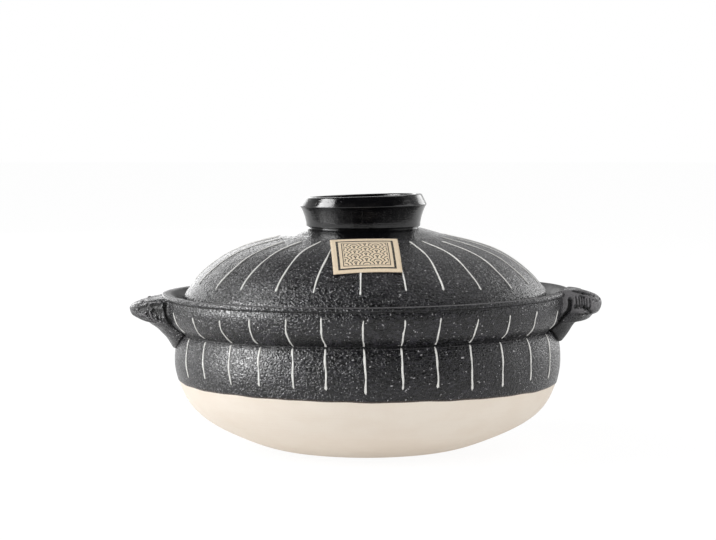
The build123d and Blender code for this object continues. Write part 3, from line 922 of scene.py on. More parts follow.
@dataclass
class Bowl:
    """The bowl: clay, its three coats and the lines that are drawn on it.

    Each mark of the outer coat is painted light: it says where it lies (0 the crease, 1 the groove, 2 the
    crest), how far past that, its half width, and how dark its painted shade is, or below 0 how light its
    painted highlight is.
    """

    foot_radius: float = 58.0
    foot_ring_width: float = 7.0
    foot_recess_depth: float = 1.2
    lip_overhang: float = 1.3
    lip_band_height: float = 3.4
    lip_groove_depth: float = 1.6
    lip_width: float = 4.2
    collar_flare: float = 11.3
    collar_rise: float = 26.4
    belly_swell: float = 4.2
    glazed_wall_rise: float = 35.8
    glaze_line_inset: float = 2.0
    gallery_width: float = 13.2
    ledge_depth: float = 9.9
    ledge_width: float = 8.4
    ledge_edge: float = 2.0
    wall_thickness: float = 7.6
    floor_height: float = 9.4
    glaze_thickness: float = 0.5
    edge_run: float = 1.3
    edge_waver: float = 0.22
    edge_waver_run: float = 9.0
    # Painted shade in the crease and in the groove under the lip; painted highlights just below the crease
    # and just before the lip's crest.
    shade_and_highlight_marks: tuple[tuple[int, float, float, float], ...] = (
        (0, 0.0, 0.8, 0.9), (0, -2.0, 0.8, -0.4), (1, 0.0, 0.5, 0.7), (2, -1.0, 0.9, -0.55))
    turns: int = 336
    clay_turns: int = 260
    step: float = 0.8
    base_shares: tuple[tuple[float, float], ...] = (
        (0.115, 0.030), (0.255, 0.090), (0.395, 0.172), (0.530, 0.262), (0.660, 0.362), (0.775, 0.475),
        (0.872, 0.610), (0.945, 0.775))
    wall_shares: tuple[tuple[float, float], ...] = ((0.55, 0.15), (0.92, 0.30), (1.00, 0.48))
    shoulder_shares: tuple[tuple[float, float], ...] = ((0.86, 0.72), (0.60, 0.885), (0.30, 0.965))
    flare_shares: tuple[tuple[float, float], ...] = (
        (0.30, 0.105), (0.56, 0.215), (0.79, 0.375), (0.93, 0.560), (1.03, 0.780), (1.02, 0.900))
    lip_shares: tuple[tuple[float, float], ...] = ((0.045, 0.20), (0.035, 0.62), (0.20, 0.92))
    gallery_shares: tuple[tuple[float, float], ...] = ((0.34, 0.97), (0.58, 0.80), (0.80, 0.45), (0.95, 0.15))
    inside_shares: tuple[tuple[float, float], ...] = (
        (0.955, 0.900), (0.962, 0.835), (0.986, 0.740), (1.000, 0.620), (0.993, 0.500), (0.968, 0.385),
        (0.925, 0.275), (0.856, 0.180), (0.758, 0.105), (0.625, 0.048), (0.440, 0.015), (0.200, 0.000))

    def __post_init__(self) -> None:
        """Take the overall sizes from the frame, and work out the outlines."""
        self.rim_radius = corner("pot_outer_glaze", True, 1)
        self.rim_height = corner("pot_outer_glaze", True, 2)
        self.flare_radius = self.rim_radius - self.lip_overhang
        self.crease_radius = self.flare_radius - self.collar_flare
        self.belly_radius = self.crease_radius + self.belly_swell
        self.line_radius = self.belly_radius - self.glaze_line_inset
        self.crease_height = self.rim_height - self.collar_rise
        self.line_height = self.crease_height - self.glazed_wall_rise
        self.ledge_height = self.rim_height - self.ledge_depth
        self.ledge_outer = self.rim_radius - self.gallery_width
        self.ledge_inner = self.ledge_outer - self.ledge_width
        self.groove_height = self.rim_height - self.lip_band_height
        self.base = self._base()
        self.wall = self._wall()
        self.flare = self._flare()
        self.lip = self._lip()
        self.gallery = self._gallery()
        self.inside = self._inside()
        self.outside = np.concatenate((self.wall[:-1], self.flare[:-1], self.lip))

    def _base(self) -> Points:
        """Outline of the bare base in the clay, from the foot's edge to the glaze line."""
        top = self.line_radius - self.glaze_thickness
        middle = placed(self.base_shares, (self.foot_radius, top), (0.0, self.line_height))
        return cubic([(self.foot_radius, 0.0), *middle, (top, self.line_height)], self.step)

    def _wall(self) -> Points:
        """Outline of the glazed wall, from the glaze line up to the crease."""
        rise = (self.line_height, self.crease_height)
        lower = placed(self.wall_shares, (self.line_radius, self.belly_radius), rise)
        upper = placed(self.shoulder_shares, (self.crease_radius, self.belly_radius), rise)
        return cubic([(self.line_radius, self.line_height), *lower, *upper,
                      (self.crease_radius, self.crease_height)], self.step)

    def _flare(self) -> Points:
        """Outline of the flared collar, from the crease up to the groove under the lip."""
        middle = placed(self.flare_shares, (self.crease_radius, self.flare_radius),
                        (self.crease_height, self.groove_height))
        top = (self.rim_radius - self.lip_groove_depth, self.groove_height)
        return cubic([(self.crease_radius, self.crease_height), *middle, top], self.step)

    def _lip(self) -> Points:
        """Outline of the lip, from the groove over the crest."""
        middle = placed(self.lip_shares, (self.rim_radius, self.rim_radius - self.lip_width),
                        (self.groove_height, self.rim_height))
        crest = (self.rim_radius - self.lip_width / 2, self.rim_height)
        return cubic([tuple(self.flare[-1]), *middle, crest], self.step / 3)

    def _gallery(self) -> Points:
        """Outline of the gallery, from the crest of the lip down to the ledge."""
        crest = self.rim_radius - self.lip_width / 2
        middle = placed(self.gallery_shares, (crest, self.ledge_outer), (self.ledge_height, self.rim_height))
        return cubic([(crest, self.rim_height), *middle, (self.ledge_outer, self.ledge_height)], self.step)

    def _inside(self) -> Points:
        """Outline of the inside, from the ledge's inner edge down to the middle of the floor."""
        belly = self.belly_radius - self.wall_thickness
        middle = placed(self.inside_shares, (0.0, belly), (self.floor_height, self.ledge_height))
        start = (self.ledge_inner, self.ledge_height - self.ledge_edge)
        return cubic([start, *middle, (0.0, self.floor_height)], 2 * self.step)

    def build(self, finishes: Finishes) -> None:
        """Make the clay, the coats and the lines."""
        self._build_clay(finishes.clay)
        self._build_outer_coat(finishes.matt)
        self._build_gallery_coat(finishes.satin)
        self._build_inner_coat(finishes.gloss)
        BowlLines(self).build(finishes.slip)

    def _build_clay(self, finish: bpy.types.Material) -> None:
        """The thrown clay: one outline from the foot's middle over the lip to the middle of the floor."""
        recess = self.foot_radius - self.foot_ring_width
        foot = rounded([(recess - 30.0, self.foot_recess_depth, 0.0),
                        (recess - 1.2, self.foot_recess_depth, 0.8), (recess, 0.0, 0.5),
                        (self.foot_radius, 0.0, 1.6), tuple((*self.base[2], 0.0))])
        under = self.outside - normals_of(self.outside) * self.glaze_thickness
        crest = (self.rim_radius - self.lip_width / 2, self.rim_height - self.glaze_thickness)
        gallery = self.gallery - normals_of(self.gallery) * self.glaze_thickness
        inside = self.inside - normals_of(self.inside) * self.glaze_thickness
        ledge = rounded([(self.ledge_outer + self.glaze_thickness, self.ledge_height, 0.0),
                         (self.ledge_inner, self.ledge_height, 1.0),
                         (self.ledge_inner, self.ledge_height - self.ledge_edge, 0.0)])
        outline = np.concatenate((foot[:-1], self.base[2:-1], under[1:-1], [crest], gallery[1:-1], ledge,
                                  inside[1:-1]))
        places, faces = turned_solid(outline, self.clay_turns, self.foot_recess_depth,
                                     self.floor_height - self.glaze_thickness)
        add_mesh("bowl_clay", places, faces, Body.POT, finish, ("pot_bowl",))

    def _build_outer_coat(self, finish: bpy.types.Material) -> None:
        """The outer coat: out along the glazed outline and back along the clay, with an uneven lower edge."""
        clay, face = coat_sides(self.outside, normals_of(self.outside), self.glaze_thickness, self.edge_run)
        face[-1] = self.outside[-1]
        outline = np.concatenate((face, clay[::-1]))
        grid = revolved(outline, self.turns)
        angle = np.arctan2(grid[..., 1], grid[..., 0])
        run = travelled(self.outside)
        run = np.concatenate((run, run[::-1]))[:, None]
        wave = self.edge_waver * ripple(angle, 3, (7, 12, 19, 31))
        grid[..., 2] += wave * (1 - smooth(run, 0.0, self.edge_waver_run))
        places, faces = closed_ring(grid)
        crease = travelled(self.wall)[-1]
        starts = (crease, crease + travelled(self.flare)[-1], run.max())
        # Painted shade and painted highlights, stored in the hollow attribute.
        shade_and_highlight_marks = sum(black * bell(run - starts[at] - past, width) for at, past, width, black in self.shade_and_highlight_marks)
        spread = [np.broadcast_to(values, grid.shape[:2]).ravel() for values in (run, shade_and_highlight_marks)]
        add_mesh("outer_coat", places, faces, Body.POT, finish, ("pot_outer_glaze",),
                 {"from_edge": spread[0], "hollow": spread[1]})

    def _build_gallery_coat(self, finish: bpy.types.Material) -> None:
        """The coat of the gallery, rolled down at the bare ledge."""
        face = self.gallery[::-1]
        clay, coat = coat_sides(face, -normals_of(face), self.glaze_thickness, self.edge_run)
        coat[-1] = face[-1]
        places, faces = closed_ring(revolved(np.concatenate((coat, clay[::-1])), self.turns))
        add_mesh("gallery_coat", places, faces, Body.POT, finish, ("gallery_glaze",))

    def _build_inner_coat(self, finish: bpy.types.Material) -> None:
        """The coat of the inside, from below the ledge to the middle of the floor."""
        clay, coat = coat_sides(self.inside, normals_of(self.inside), self.glaze_thickness, self.edge_run)
        outline = np.concatenate((coat[:-1][::-1], clay[:-1]))
        places, faces = turned_solid(outline, self.turns, self.floor_height,
                                     self.floor_height - self.glaze_thickness - UNDERLAP)
        add_mesh("inner_coat", places, faces, Body.POT, finish, ("pot_inner_glaze",))


@dataclass
class BowlLines:
    """The slip lines of the wall and of the collar, the same thirteen in front and, turned, at the back."""

    bowl: Bowl
    places_round: int = 32
    width: float = 1.25
    height: float = 0.42
    waver: float = 0.28
    foot_nudges: tuple[float, ...] = (
        1.55, 0.8, 0.4, 0.3, 0.5, 0.1, 0.1, -0.66, -0.38, -0.63, -0.74, -0.74, -2.1)
    wall_leans: tuple[float, ...] = (
        -2.45, -1.75, -1.25, -0.4, -0.7, -0.45, -0.75, 0.06, -0.13, 0.07, 0.08, 0.0, 1.65)
    crease_nudges: tuple[float, ...] = (
        0.0, -0.6, -0.65, -0.75, -0.2, -0.35, -0.7, -0.48, -0.5, -0.35, 0.25, -0.2, 1.5)
    crease_gaps: tuple[float, ...] = (
        5.6, 2.4, 0.2, 1.8, 0.2, 0.4, 0.4, 0.4, 0.2, 0.2, 1.6, 0.4, 3.4)
    drift_shares: tuple[float, ...] = (
        0.05, 0.08, 0.17, 0.10, 0.06, -0.06, -0.06, -0.10, -0.22, -0.24, -0.24, -0.11, 0.07)
    lean_shares: tuple[float, ...] = (
        -0.09, 0.063, 0.028, 0.037, 0.018, 0.041, 0.069, 0.055, 0.058, 0.063, 0.004, -0.064, -0.134)
    foot_drops: tuple[float, ...] = (
        0.8, -1.0, 0.5, -0.6, -0.4, -0.1, 2.1, -0.6, -1.1, 1.6, 1.1, -0.4, 0.9)
    top_drops: tuple[float, ...] = (
        0.4, 1.6, 1.5, -0.7, -1.8, -2.6, -0.7, -0.5, -1.1, 1.0, 0.3, -0.2, 2.3)
    foot_gap: float = 7.9
    top_gap: float = 8.8
    collar_share: float = 0.86
    crease_gap: float = 1.1

    def build(self, finish: bpy.types.Material) -> None:
        """Draw the lines on the wall and on the collar."""
        bowl = self.bowl
        wall_end = travelled(bowl.wall)[-1] - self.crease_gap
        walls, flares = [], []
        count = len(self.drift_shares)
        pitch = 360 / self.places_round
        for half_turn in (0, 180):
            for place in range(count):
                angle = half_turn - 90 + pitch * (place - (count - 1) / 2 + self.drift_shares[place])
                seed = 40 + place + half_turn
                foot = run_at_height(bowl.wall, bowl.line_height + self.foot_gap - self.foot_drops[place])
                walls.append((SlipLine(angle + self.foot_nudges[place], self.wall_leans[place], self.width,
                                       self.height, self.waver, seed),
                              outline_part(bowl.wall, foot, wall_end)))
                top = run_at_height(bowl.flare, bowl.rim_height - self.top_gap - self.top_drops[place])
                flares.append((SlipLine(angle + self.crease_nudges[place], pitch * self.lean_shares[place],
                                        self.width * self.collar_share, self.height, self.waver, seed + 20),
                               outline_part(bowl.flare, self.crease_gaps[place], top)))
        add_slip_lines("wall_lines", walls, Body.POT, finish, "pot_wall_slip_lines")
        add_slip_lines("collar_lines", flares, Body.POT, finish, "pot_flare_slip_lines")


@dataclass(frozen=True)
class Stroke:
    """One tooled stroke in a lug: a groove between two places, or a raised cord if its depth is negative.

    A place is (along, down): along the lug's outline from its tip, and down its section from the lip.
    """

    start: tuple[float, float]
    end: tuple[float, float]
    width: float
    depth: float

    def relief(self, along: Points, down: Points) -> Points:
        """Height of the stroke at each place: minus depth times a bell of the distance to its line."""
        (a0, d0), (a1, d1) = self.start, self.end
        run, fall = a1 - a0, d1 - d0
        t = np.clip(((along - a0) * run + (down - d0) * fall) / (run * run + fall * fall), 0, 1)
        distance = np.hypot(along - a0 - t * run, down - d0 - t * fall)
        return -self.depth * bell(distance, self.width / 2)


@dataclass
class Lug:
    """One lug handle, pressed with a woven relief and luted on the collar.

    Its section at the middle runs from the lip over the tip to the foot of the neck. At each place of the
    section the plan is half of a superellipse, reach times cosine and half width times sine, each to the
    power 2 / 2.35. The top is flat: beside the middle it keeps the height that the section's top has above
    the same x, and leans a little along y. Lower down this fades out.
    """

    bowl: Bowl
    name: str
    node: str
    side: int
    section: tuple[tuple[float, float, float], ...]
    top_points: int
    lean: float
    strokes: tuple[Stroke, ...] | list[Stroke] = ()
    half_width: float = 41.5
    plan_power: float = 2.35
    root_depth: float = 9.4
    step: float = 0.4
    across: int = 300
    embed: float = 0.8
    top_kept: float = 23.0
    top_lost: float = 34.0
    groove_reach: float = 1.1
    groove_depth: float = 1.8
    joint_heights: tuple[float, ...] = (84.0, 90.0, 96.0, 104.0)
    joint_offsets: tuple[float, ...] = (0.0, 1.0, 2.0, 1.6)
    joint_top: float = 106.0
    joint_fade: float = 3.0
    stroke_shares: tuple[float, float] = (0.6, 1.8)
    neck_downs: tuple[float, float] = (40.0, 47.0)
    face_down: float = 28.5
    face_reach: float = 6.0
    top_downs: tuple[float, float] = (22.0, 26.0)
    bridge_starts: tuple[float, float] = (-0.2, 0.6)
    bridge_ends: tuple[float, float] = (-2.2, -0.8)
    bridge_heights: tuple[float, float] = (93.0, 101.0)
    # Painted highlights on the bridge inside the joint's groove, on the face and on the top, where light
    # falls on them, and painted shade down the neck.
    bridge_painted_light: float = 0.0
    face_painted_light: float = 0.0
    top_painted_light: float = 0.0
    neck_shade: float = 0.0

    def surface(self) -> tuple[Points, Points, Points]:
        """The lug's outside without its relief.

        Returns:
            (rows, columns, 3) array of places on the right side, and for each place its length along the
            plan from the tip and its length down the section from the lip.
        """
        root = self.bowl.crease_radius - self.root_depth
        rows = cubic(self.section, self.step)
        reach, height, width = rows[:, :1] - root, rows[:, 1:2], np.clip(rows[:, 2:], 0.05, 1.02)
        turn = np.linspace(-pi / 2, pi / 2, self.across)[None]
        power = 2 / self.plan_power
        x = root + reach * np.abs(np.cos(turn)) ** power
        y = self.half_width * width * np.abs(np.sin(turn)) ** power * np.sign(turn)
        down = np.broadcast_to(travelled(rows[:, :2])[:, None], x.shape)
        top = np.array(self.section[:self.top_points])
        rise = np.interp(x, top[:, 0], top[:, 1]) - np.interp(rows[:, :1], top[:, 0], top[:, 1])
        kept = 1 - smooth(down, self.top_kept, self.top_lost)
        z = height + (rise - self.lean * y) * kept
        front = np.stack((x, y, z), axis=-1)
        widest = int(np.argmax(width))
        arc = np.concatenate(([0.0], np.cumsum(np.linalg.norm(np.diff(front[widest], axis=0), axis=1))))
        return front, np.broadcast_to(arc - arc[-1] / 2, x.shape), down

    def build(self, finish: bpy.types.Material) -> None:
        """Make the lug: the outside with its relief along its normals, and a back inside the bowl's wall."""
        front, along, down = self.surface()
        normal = np.cross(np.gradient(front, axis=0), np.gradient(front, axis=1))
        normal /= np.maximum(np.linalg.norm(normal, axis=-1), 1e-9)[..., None]
        wall = self._wall_radius(front)
        beyond = np.hypot(front[..., 0], front[..., 1]) - wall
        offset = np.interp(front[..., 2], self.joint_heights, self.joint_offsets)
        groove = self.groove_depth * bell(np.maximum(beyond, 0) - offset, self.groove_reach)
        groove = groove * (1 - smooth(front[..., 2], self.joint_top - self.joint_fade, self.joint_top))
        relief = sum((s.relief(along, down) for s in self.strokes), np.zeros_like(along))
        relief = relief * smooth(beyond - offset, *(s * self.groove_reach for s in self.stroke_shares))
        front = front + normal * (relief - groove)[..., None]
        # Painted shade in the joint's groove, in the strokes' grooves and down the neck; raised cords come
        # out lighter, partly real wear and partly painted highlight.
        hollow = groove - relief + self.neck_shade * smooth(down, *self.neck_downs)
        # Painted highlights on the face, the top and the bridge, where light falls on them.
        hollow = hollow - self.face_painted_light * bell(down - self.face_down, self.face_reach)
        hollow = hollow - self.top_painted_light * (1 - smooth(down, *self.top_downs))
        bridge = smooth(beyond, *self.bridge_starts) * (1 - smooth(beyond - offset, *self.bridge_ends))
        hollow = hollow - self.bridge_painted_light * bridge * smooth(front[..., 2], *self.bridge_heights)
        back_y = np.linspace(1, -1, 12)[None, 1:-1] * front[:, -1:, 1]
        root = self.bowl.crease_radius - self.root_depth
        back = np.stack((np.full_like(back_y, root), back_y,
                         np.broadcast_to(front[:, -1:, 2], back_y.shape)), axis=-1)
        grid = self._kept_outside(np.concatenate((front, back), axis=1))
        grid[..., 0] *= self.side
        places, faces = closed_with_poles(grid)
        hollow = np.concatenate((hollow, np.zeros(back_y.shape)), axis=1)
        hollow = np.append(hollow.ravel(), (0.0, 0.0))
        add_mesh(self.name, places, faces, Body.POT, finish, (self.node,),
                 {"from_edge": np.full(len(places), NO_EDGE), "hollow": hollow})

    def _wall_radius(self, grid: Points) -> Points:
        """Radius of the bowl's glazed outside at the height of each place."""
        outline = self.bowl.outside
        return np.interp(grid[..., 2], outline[:, 1], outline[:, 0])

    def _kept_outside(self, grid: Points) -> Points:
        """Push what reaches into the bowl out to just below the glaze's face, straight from the axis."""
        radius = np.hypot(grid[..., 0], grid[..., 1])
        pushed = np.maximum(radius, self._wall_radius(grid) - self.embed) / radius
        return np.concatenate((grid[..., :2] * pushed[..., None], grid[..., 2:]), axis=-1)


@dataclass
class Lid:
    """The lid: clay, two coats, slip lines, the ring knob and the paper label."""

    edge_rise: float = 7.5
    thickness: float = 6.5
    seat_width: float = 4.6
    glaze_lift: float = 2.2
    glaze_thickness: float = 0.5
    edge_run: float = 1.1
    inner_edge_run: float = 1.3
    crown_radius: float = 30.0
    hole_diameter: float = 7.0
    hole_from_edge: float = 22.5
    hole_angle: float = 64.0
    turns: int = 336
    step: float = 0.8
    dome_shares: tuple[tuple[float, float], ...] = (
        (0.105, 0.022), (0.212, 0.085), (0.318, 0.148), (0.423, 0.198), (0.529, 0.257), (0.635, 0.339),
        (0.741, 0.456), (0.825, 0.583), (0.889, 0.696), (0.942, 0.820), (0.979, 0.913))

    def __post_init__(self) -> None:
        """Take the overall sizes from the frame, and work out the outline of the dome."""
        self.radius = corner("lid_outer_glaze", True, 0)
        self.crown_height = corner("lid_outer_glaze", True, 2)
        self.seat_height = corner("lid_dome", False, 2)
        self.edge_height = self.seat_height + self.edge_rise
        middle = placed(self.dome_shares, (self.crown_radius, self.radius),
                        (self.crown_height, self.edge_height))
        self.dome = cubic([(self.crown_radius, self.crown_height), *middle, (self.radius, self.edge_height)],
                          self.step, (1, 0), (0, -1))

    @classmethod
    def hole_middle(cls, lid_radius: float) -> Points:
        """X and Y of the steam hole's middle in a lid of a radius."""
        angle = radians(cls.hole_angle)
        return (lid_radius - cls.hole_from_edge) * np.array((np.cos(angle), np.sin(angle)))

    def build(self, finishes: Finishes) -> None:
        """Make the clay, the coats, the lines, the knob and the label."""
        self._build_clay(finishes.clay)
        self._build_outer_coat(finishes.matt)
        self._build_inner_coat(finishes.gloss)
        LidLines(self).build(finishes.slip)
        Knob(self).build(finishes.gloss)
        Label(self).build()

    def _underside(self, depth: float) -> Points:
        """The dome moved inwards by a depth, as far as it can go without folding at the tight edge."""
        moved = self.dome + normals_of(self.dome) * depth
        return moved[travelled(self.dome) < travelled(self.dome)[-1] - self.thickness]

    def _cut_hole(self, piece: bpy.types.Object) -> None:
        """Drill the steam hole with a boolean modifier that is applied at once."""
        middle = self.hole_middle(self.radius)
        turn = np.linspace(0, 2 * pi, 48, endpoint=False)
        ring = middle + self.hole_diameter / 2 * np.stack((np.cos(turn), np.sin(turn)), axis=1)
        low, high = self.seat_height, self.crown_height
        grid = np.stack([np.column_stack((ring, np.full(len(ring), h))) for h in (low, high)])
        places, faces = closed_with_poles(grid)
        drill = bpy.data.objects.new("drill", outward_mesh("drill", places, faces))
        bpy.context.scene.collection.objects.link(drill)
        cut = piece.modifiers.new("steam_hole", "BOOLEAN")
        cut.operation = "DIFFERENCE"
        cut.solver = "EXACT"
        cut.object = drill
        bpy.context.view_layer.update()
        cut_mesh = bpy.data.meshes.new_from_object(piece.evaluated_get(bpy.context.evaluated_depsgraph_get()))
        piece.modifiers.clear()
        piece.data = cut_mesh
        bpy.data.objects.remove(drill)

    def _build_clay(self, finish: bpy.types.Material) -> None:
        """The thrown clay: crown, dome, upright edge, seat and underside in one outline."""
        clay = self.dome + normals_of(self.dome) * self.glaze_thickness
        under = self._underside(self.thickness)
        outer = self.radius - self.glaze_thickness
        seat = rounded([(outer, self.edge_height, 0.0), (outer, self.seat_height, 1.2),
                        (outer - 1.0 - self.seat_width, self.seat_height, 1.0),
                        (under[-1][0], self.edge_height - 1.0, 1.0), (*under[-1], 0.0)])
        outline = np.concatenate((clay[:-1], seat, under[:-1][::-1]))
        places, faces = turned_solid(outline, self.turns, self.crown_height - self.glaze_thickness,
                                     self.crown_height - self.thickness)
        self._cut_hole(add_mesh("lid_clay", places, faces, Body.LID, finish, ("lid_dome",)))

    def _build_outer_coat(self, finish: bpy.types.Material) -> None:
        """The lid's black coat: crown and dome, down to a rolled edge above the seat."""
        foot = (self.radius, self.seat_height + self.glaze_lift)
        upright = np.linspace((self.radius, self.edge_height), foot, 8)[1:]
        face = np.concatenate((self.dome, upright))[::-1]
        clay, coat = coat_sides(face, normals_of(face), self.glaze_thickness, self.edge_run)
        places, faces = turned_solid(np.concatenate((coat[::-1], clay)), self.turns, self.crown_height,
                                     self.crown_height - self.glaze_thickness - UNDERLAP)
        run = travelled(face)
        per_row = np.concatenate((run[::-1], run))
        from_edge = np.concatenate((np.repeat(per_row, self.turns), np.full(2, run[-1])))
        self._cut_hole(add_mesh("lid_coat", places, faces, Body.LID, finish, ("lid_outer_glaze",),
                                {"from_edge": from_edge}))

    def _build_inner_coat(self, finish: bpy.types.Material) -> None:
        """The coat of the lid's underside."""
        clay = self._underside(self.thickness - UNDERLAP)
        depth = UNDERLAP + thinning(clay[::-1], self.glaze_thickness, self.inner_edge_run)[::-1]
        coat = clay + normals_of(clay) * depth[:, None]
        low = self.crown_height - self.thickness
        places, faces = turned_solid(np.concatenate((clay, coat[::-1])), self.turns, low + UNDERLAP,
                                     low - self.glaze_thickness)
        self._cut_hole(add_mesh("lid_inner_coat", places, faces, Body.LID, finish,
                                ("lid_inner_glaze",)))


@dataclass
class LidLines:
    """The slip lines of the lid, even round it but for one slow drift."""

    lid: Lid
    count: int = 27
    width: float = 1.2
    height: float = 0.42
    waver: float = 0.45
    start_angle: float = -94.2
    drift_angle: float = 5.6
    front_drifts: tuple[float, ...] = (
        (2.4, 2.5, 0.2, 0.4, 0.9, 0.5) + (0.0,) * 15 + (1.5, 3.0, 5.0, 3.5, 3.3, 2.1))
    inner_radius: float = 60.0
    inner_luck: tuple[float, float] = (-4.0, 5.0)
    edge_gap: float = 5.5
    outer_luck: tuple[float, float] = (-0.6, 0.6)
    front_gaps: tuple[float, ...] = (
        (0.0, 2.0, 1.5, 0.0, 0.2, 0.5) + (0.0,) * 15 + (1.0, 0.5, 0.5, 1.5, 1.5, 0.8))
    leaning: int = 2
    lean: float = 4.5
    faint: tuple[int, ...] = (5, 6, 7, 20, 21, 22)
    faint_share: float = 0.55

    def build(self, finish: bpy.types.Material) -> None:
        """Draw the lines from the edge of the lid up to the knob."""
        luck = np.random.RandomState(11)
        dome = self.lid.dome[::-1]
        run = travelled(dome)
        lines = []
        for i in range(self.count):
            turn = 360 * i / self.count
            angle = self.start_angle + turn + self.drift_angle * np.sin(radians(turn)) + self.front_drifts[i]
            outer = self.lid.radius - self.edge_gap - self.front_gaps[i] + luck.uniform(*self.outer_luck)
            inner = self.inner_radius + luck.uniform(*self.inner_luck)
            low, high = (float(np.interp(-r, -dome[:, 0], run)) for r in (outer, inner))
            part = outline_part(dome, low, high)
            lean = self.lean if i == self.leaning else 0.0
            width = self.width * (self.faint_share if i in self.faint else 1.0)
            lines.append((SlipLine(angle, lean, width, self.height, self.waver, 200 + i), part))
        add_slip_lines("lid_lines", lines, Body.LID, finish, "lid_slip_lines")


@dataclass
class Knob:
    """The hollow ring knob: collar, waist, hollowed side, bevelled top and coned recess."""

    lid: Lid
    top_bevel: float = 3.1
    rim_width: float = 4.4
    taper: float = 4.4
    collar_inset: float = 1.2
    wall: float = 9.7
    widest_rise: float = 16.3
    waist_rise: float = 0.9

    def build(self, finish: bpy.types.Material) -> None:
        """Make the knob as one closed ring."""
        radius, top = corner("knob_ring", True, 0), corner("knob_ring", True, 2)
        crown = self.lid.crown_height
        waist = radius - self.taper
        collar = waist - self.collar_inset
        recess = collar - self.wall
        widest = crown + self.widest_rise
        hollow = [(between(waist, radius, (s + s * s) / 2), between(crown + self.waist_rise, widest, s), 0.0)
                  for s in (0.15, 0.3, 0.45, 0.6, 0.75, 0.88)]
        dome_below = crown - 2.6
        outline = rounded([
            (recess, crown - 3.0, 0.0), (collar + 9.0, dome_below - 1.5, 0.0),
            (collar + 7.5, dome_below - 0.1, 0.8),
            (collar + 2.2, crown - 1.3, 1.6), (collar, crown - 0.7, 0.9), (collar, crown + 0.1, 0.5),
            (waist + 0.3, crown + self.waist_rise, 0.5), *hollow, (radius + 0.4, widest, 0.9),
            (radius - self.top_bevel, top, 1.0), (radius - self.top_bevel - self.rim_width, top, 1.3),
            (recess + 2.5, crown + 3.6, 2.0), (recess + 0.2, crown + 1.0, 1.2),
            (recess - 3.0, crown + 0.25, 1.0),
            (recess - 4.5, crown - 0.4, 0.0), (recess - 4.5, crown - 2.0, 0.0)])
        places, faces = closed_ring(revolved(outline, 360))
        add_mesh("ring_knob", places, faces, Body.LID, finish, ("knob_ring",))


@dataclass
class Label:
    """The kraft paper label: stiff, close to the dome at its lower edge and standing off at its top."""

    lid: Lid
    width: float = 45.0
    length: float = 45.0
    thickness: float = 0.3
    foot_radius: float = 104.4
    top_lift: float = 3.2
    foot_lift: float = 0.6
    yielding: float = 0.45
    turn: float = 3.0
    shift: float = 0.4
    columns: int = 33
    rows: int = 40

    def build(self) -> None:
        """Make the label: a bent strip along the dome, curved across by the dome's own round."""
        dome = self.lid.dome
        run = travelled(dome)
        foot_run = float(np.interp(self.foot_radius, dome[:, 0], run))
        u = np.linspace(-0.5, 0.5, self.columns)[None] * self.width
        v = np.linspace(-0.5, 0.5, self.rows)[:, None] * self.length
        turn = radians(self.turn)
        across = u * np.cos(turn) - v * np.sin(turn) + self.shift
        up = u * np.sin(turn) + v * np.cos(turn)
        share = v / self.length + 0.5
        place_run = foot_run - self.length / 2 - up
        radius_line = np.interp(place_run, run, dome[:, 0])
        height_line = np.interp(place_run, run, dome[:, 1])
        lift = between(self.foot_lift, self.top_lift, share ** 2)
        true_radius = np.hypot(radius_line, across)
        on_dome = np.interp(true_radius, dome[:, 0], dome[:, 1])
        z = np.maximum(height_line - self.yielding * (height_line - on_dome), on_dome) + lift
        top = np.stack((across, -radius_line, z), axis=-1)
        run_across, run_up = np.gradient(top, axis=1), np.gradient(top, axis=0)
        normal = np.cross(run_across, run_up)
        normal /= np.linalg.norm(normal, axis=-1)[..., None]
        back = top - normal * self.thickness
        grid = np.concatenate((top, back[:, ::-1]), axis=1)
        columns = grid.shape[1]
        strip = np.arange(self.columns - 1)
        low = np.stack((strip, strip + 1, columns - 2 - strip, columns - 1 - strip), axis=1)
        ends = np.concatenate((low[:, ::-1], low + (self.rows - 1) * columns))
        faces = np.concatenate((grid_faces(self.rows, columns), ends))
        flat = np.stack(np.broadcast_arrays(u, v, 1.0), axis=-1)
        hidden = flat[:, ::-1] * (1, 1, 0)
        paper = np.concatenate((flat, hidden), axis=1).reshape(-1, 3)
        finish = KraftPaper().material(self.width, self.length)
        add_mesh("paper_label", grid.reshape(-1, 3), faces, Body.LID, finish, ("label",),
                 {"paper": paper})


@dataclass(frozen=True)
class Lamp:
    """A rectangular soft lamp: its place, its target and its size in metres, and its power in watts.

    It can be left out of what reflects, or out of what doesn't. The camera never sees it.
    """

    name: str
    place: tuple[float, float, float]
    target: tuple[float, float, float]
    size: tuple[float, float]
    power: float
    glossy: bool = True
    diffuse: bool = True

    def add(self) -> None:
        """Add the lamp to the scene."""
        data = bpy.data.lights.new(self.name, "AREA")
        data.shape = "RECTANGLE"
        data.size, data.size_y = self.size
        data.energy = self.power
        lamp = bpy.data.objects.new(self.name, data)
        lamp.location = self.place
        way = type(lamp.location)(self.target) - lamp.location
        lamp.rotation_euler = way.to_track_quat("-Z", "Y").to_euler()
        lamp.visible_camera = False
        lamp.visible_glossy = self.glossy
        lamp.visible_diffuse = self.diffuse
        bpy.context.scene.collection.objects.link(lamp)


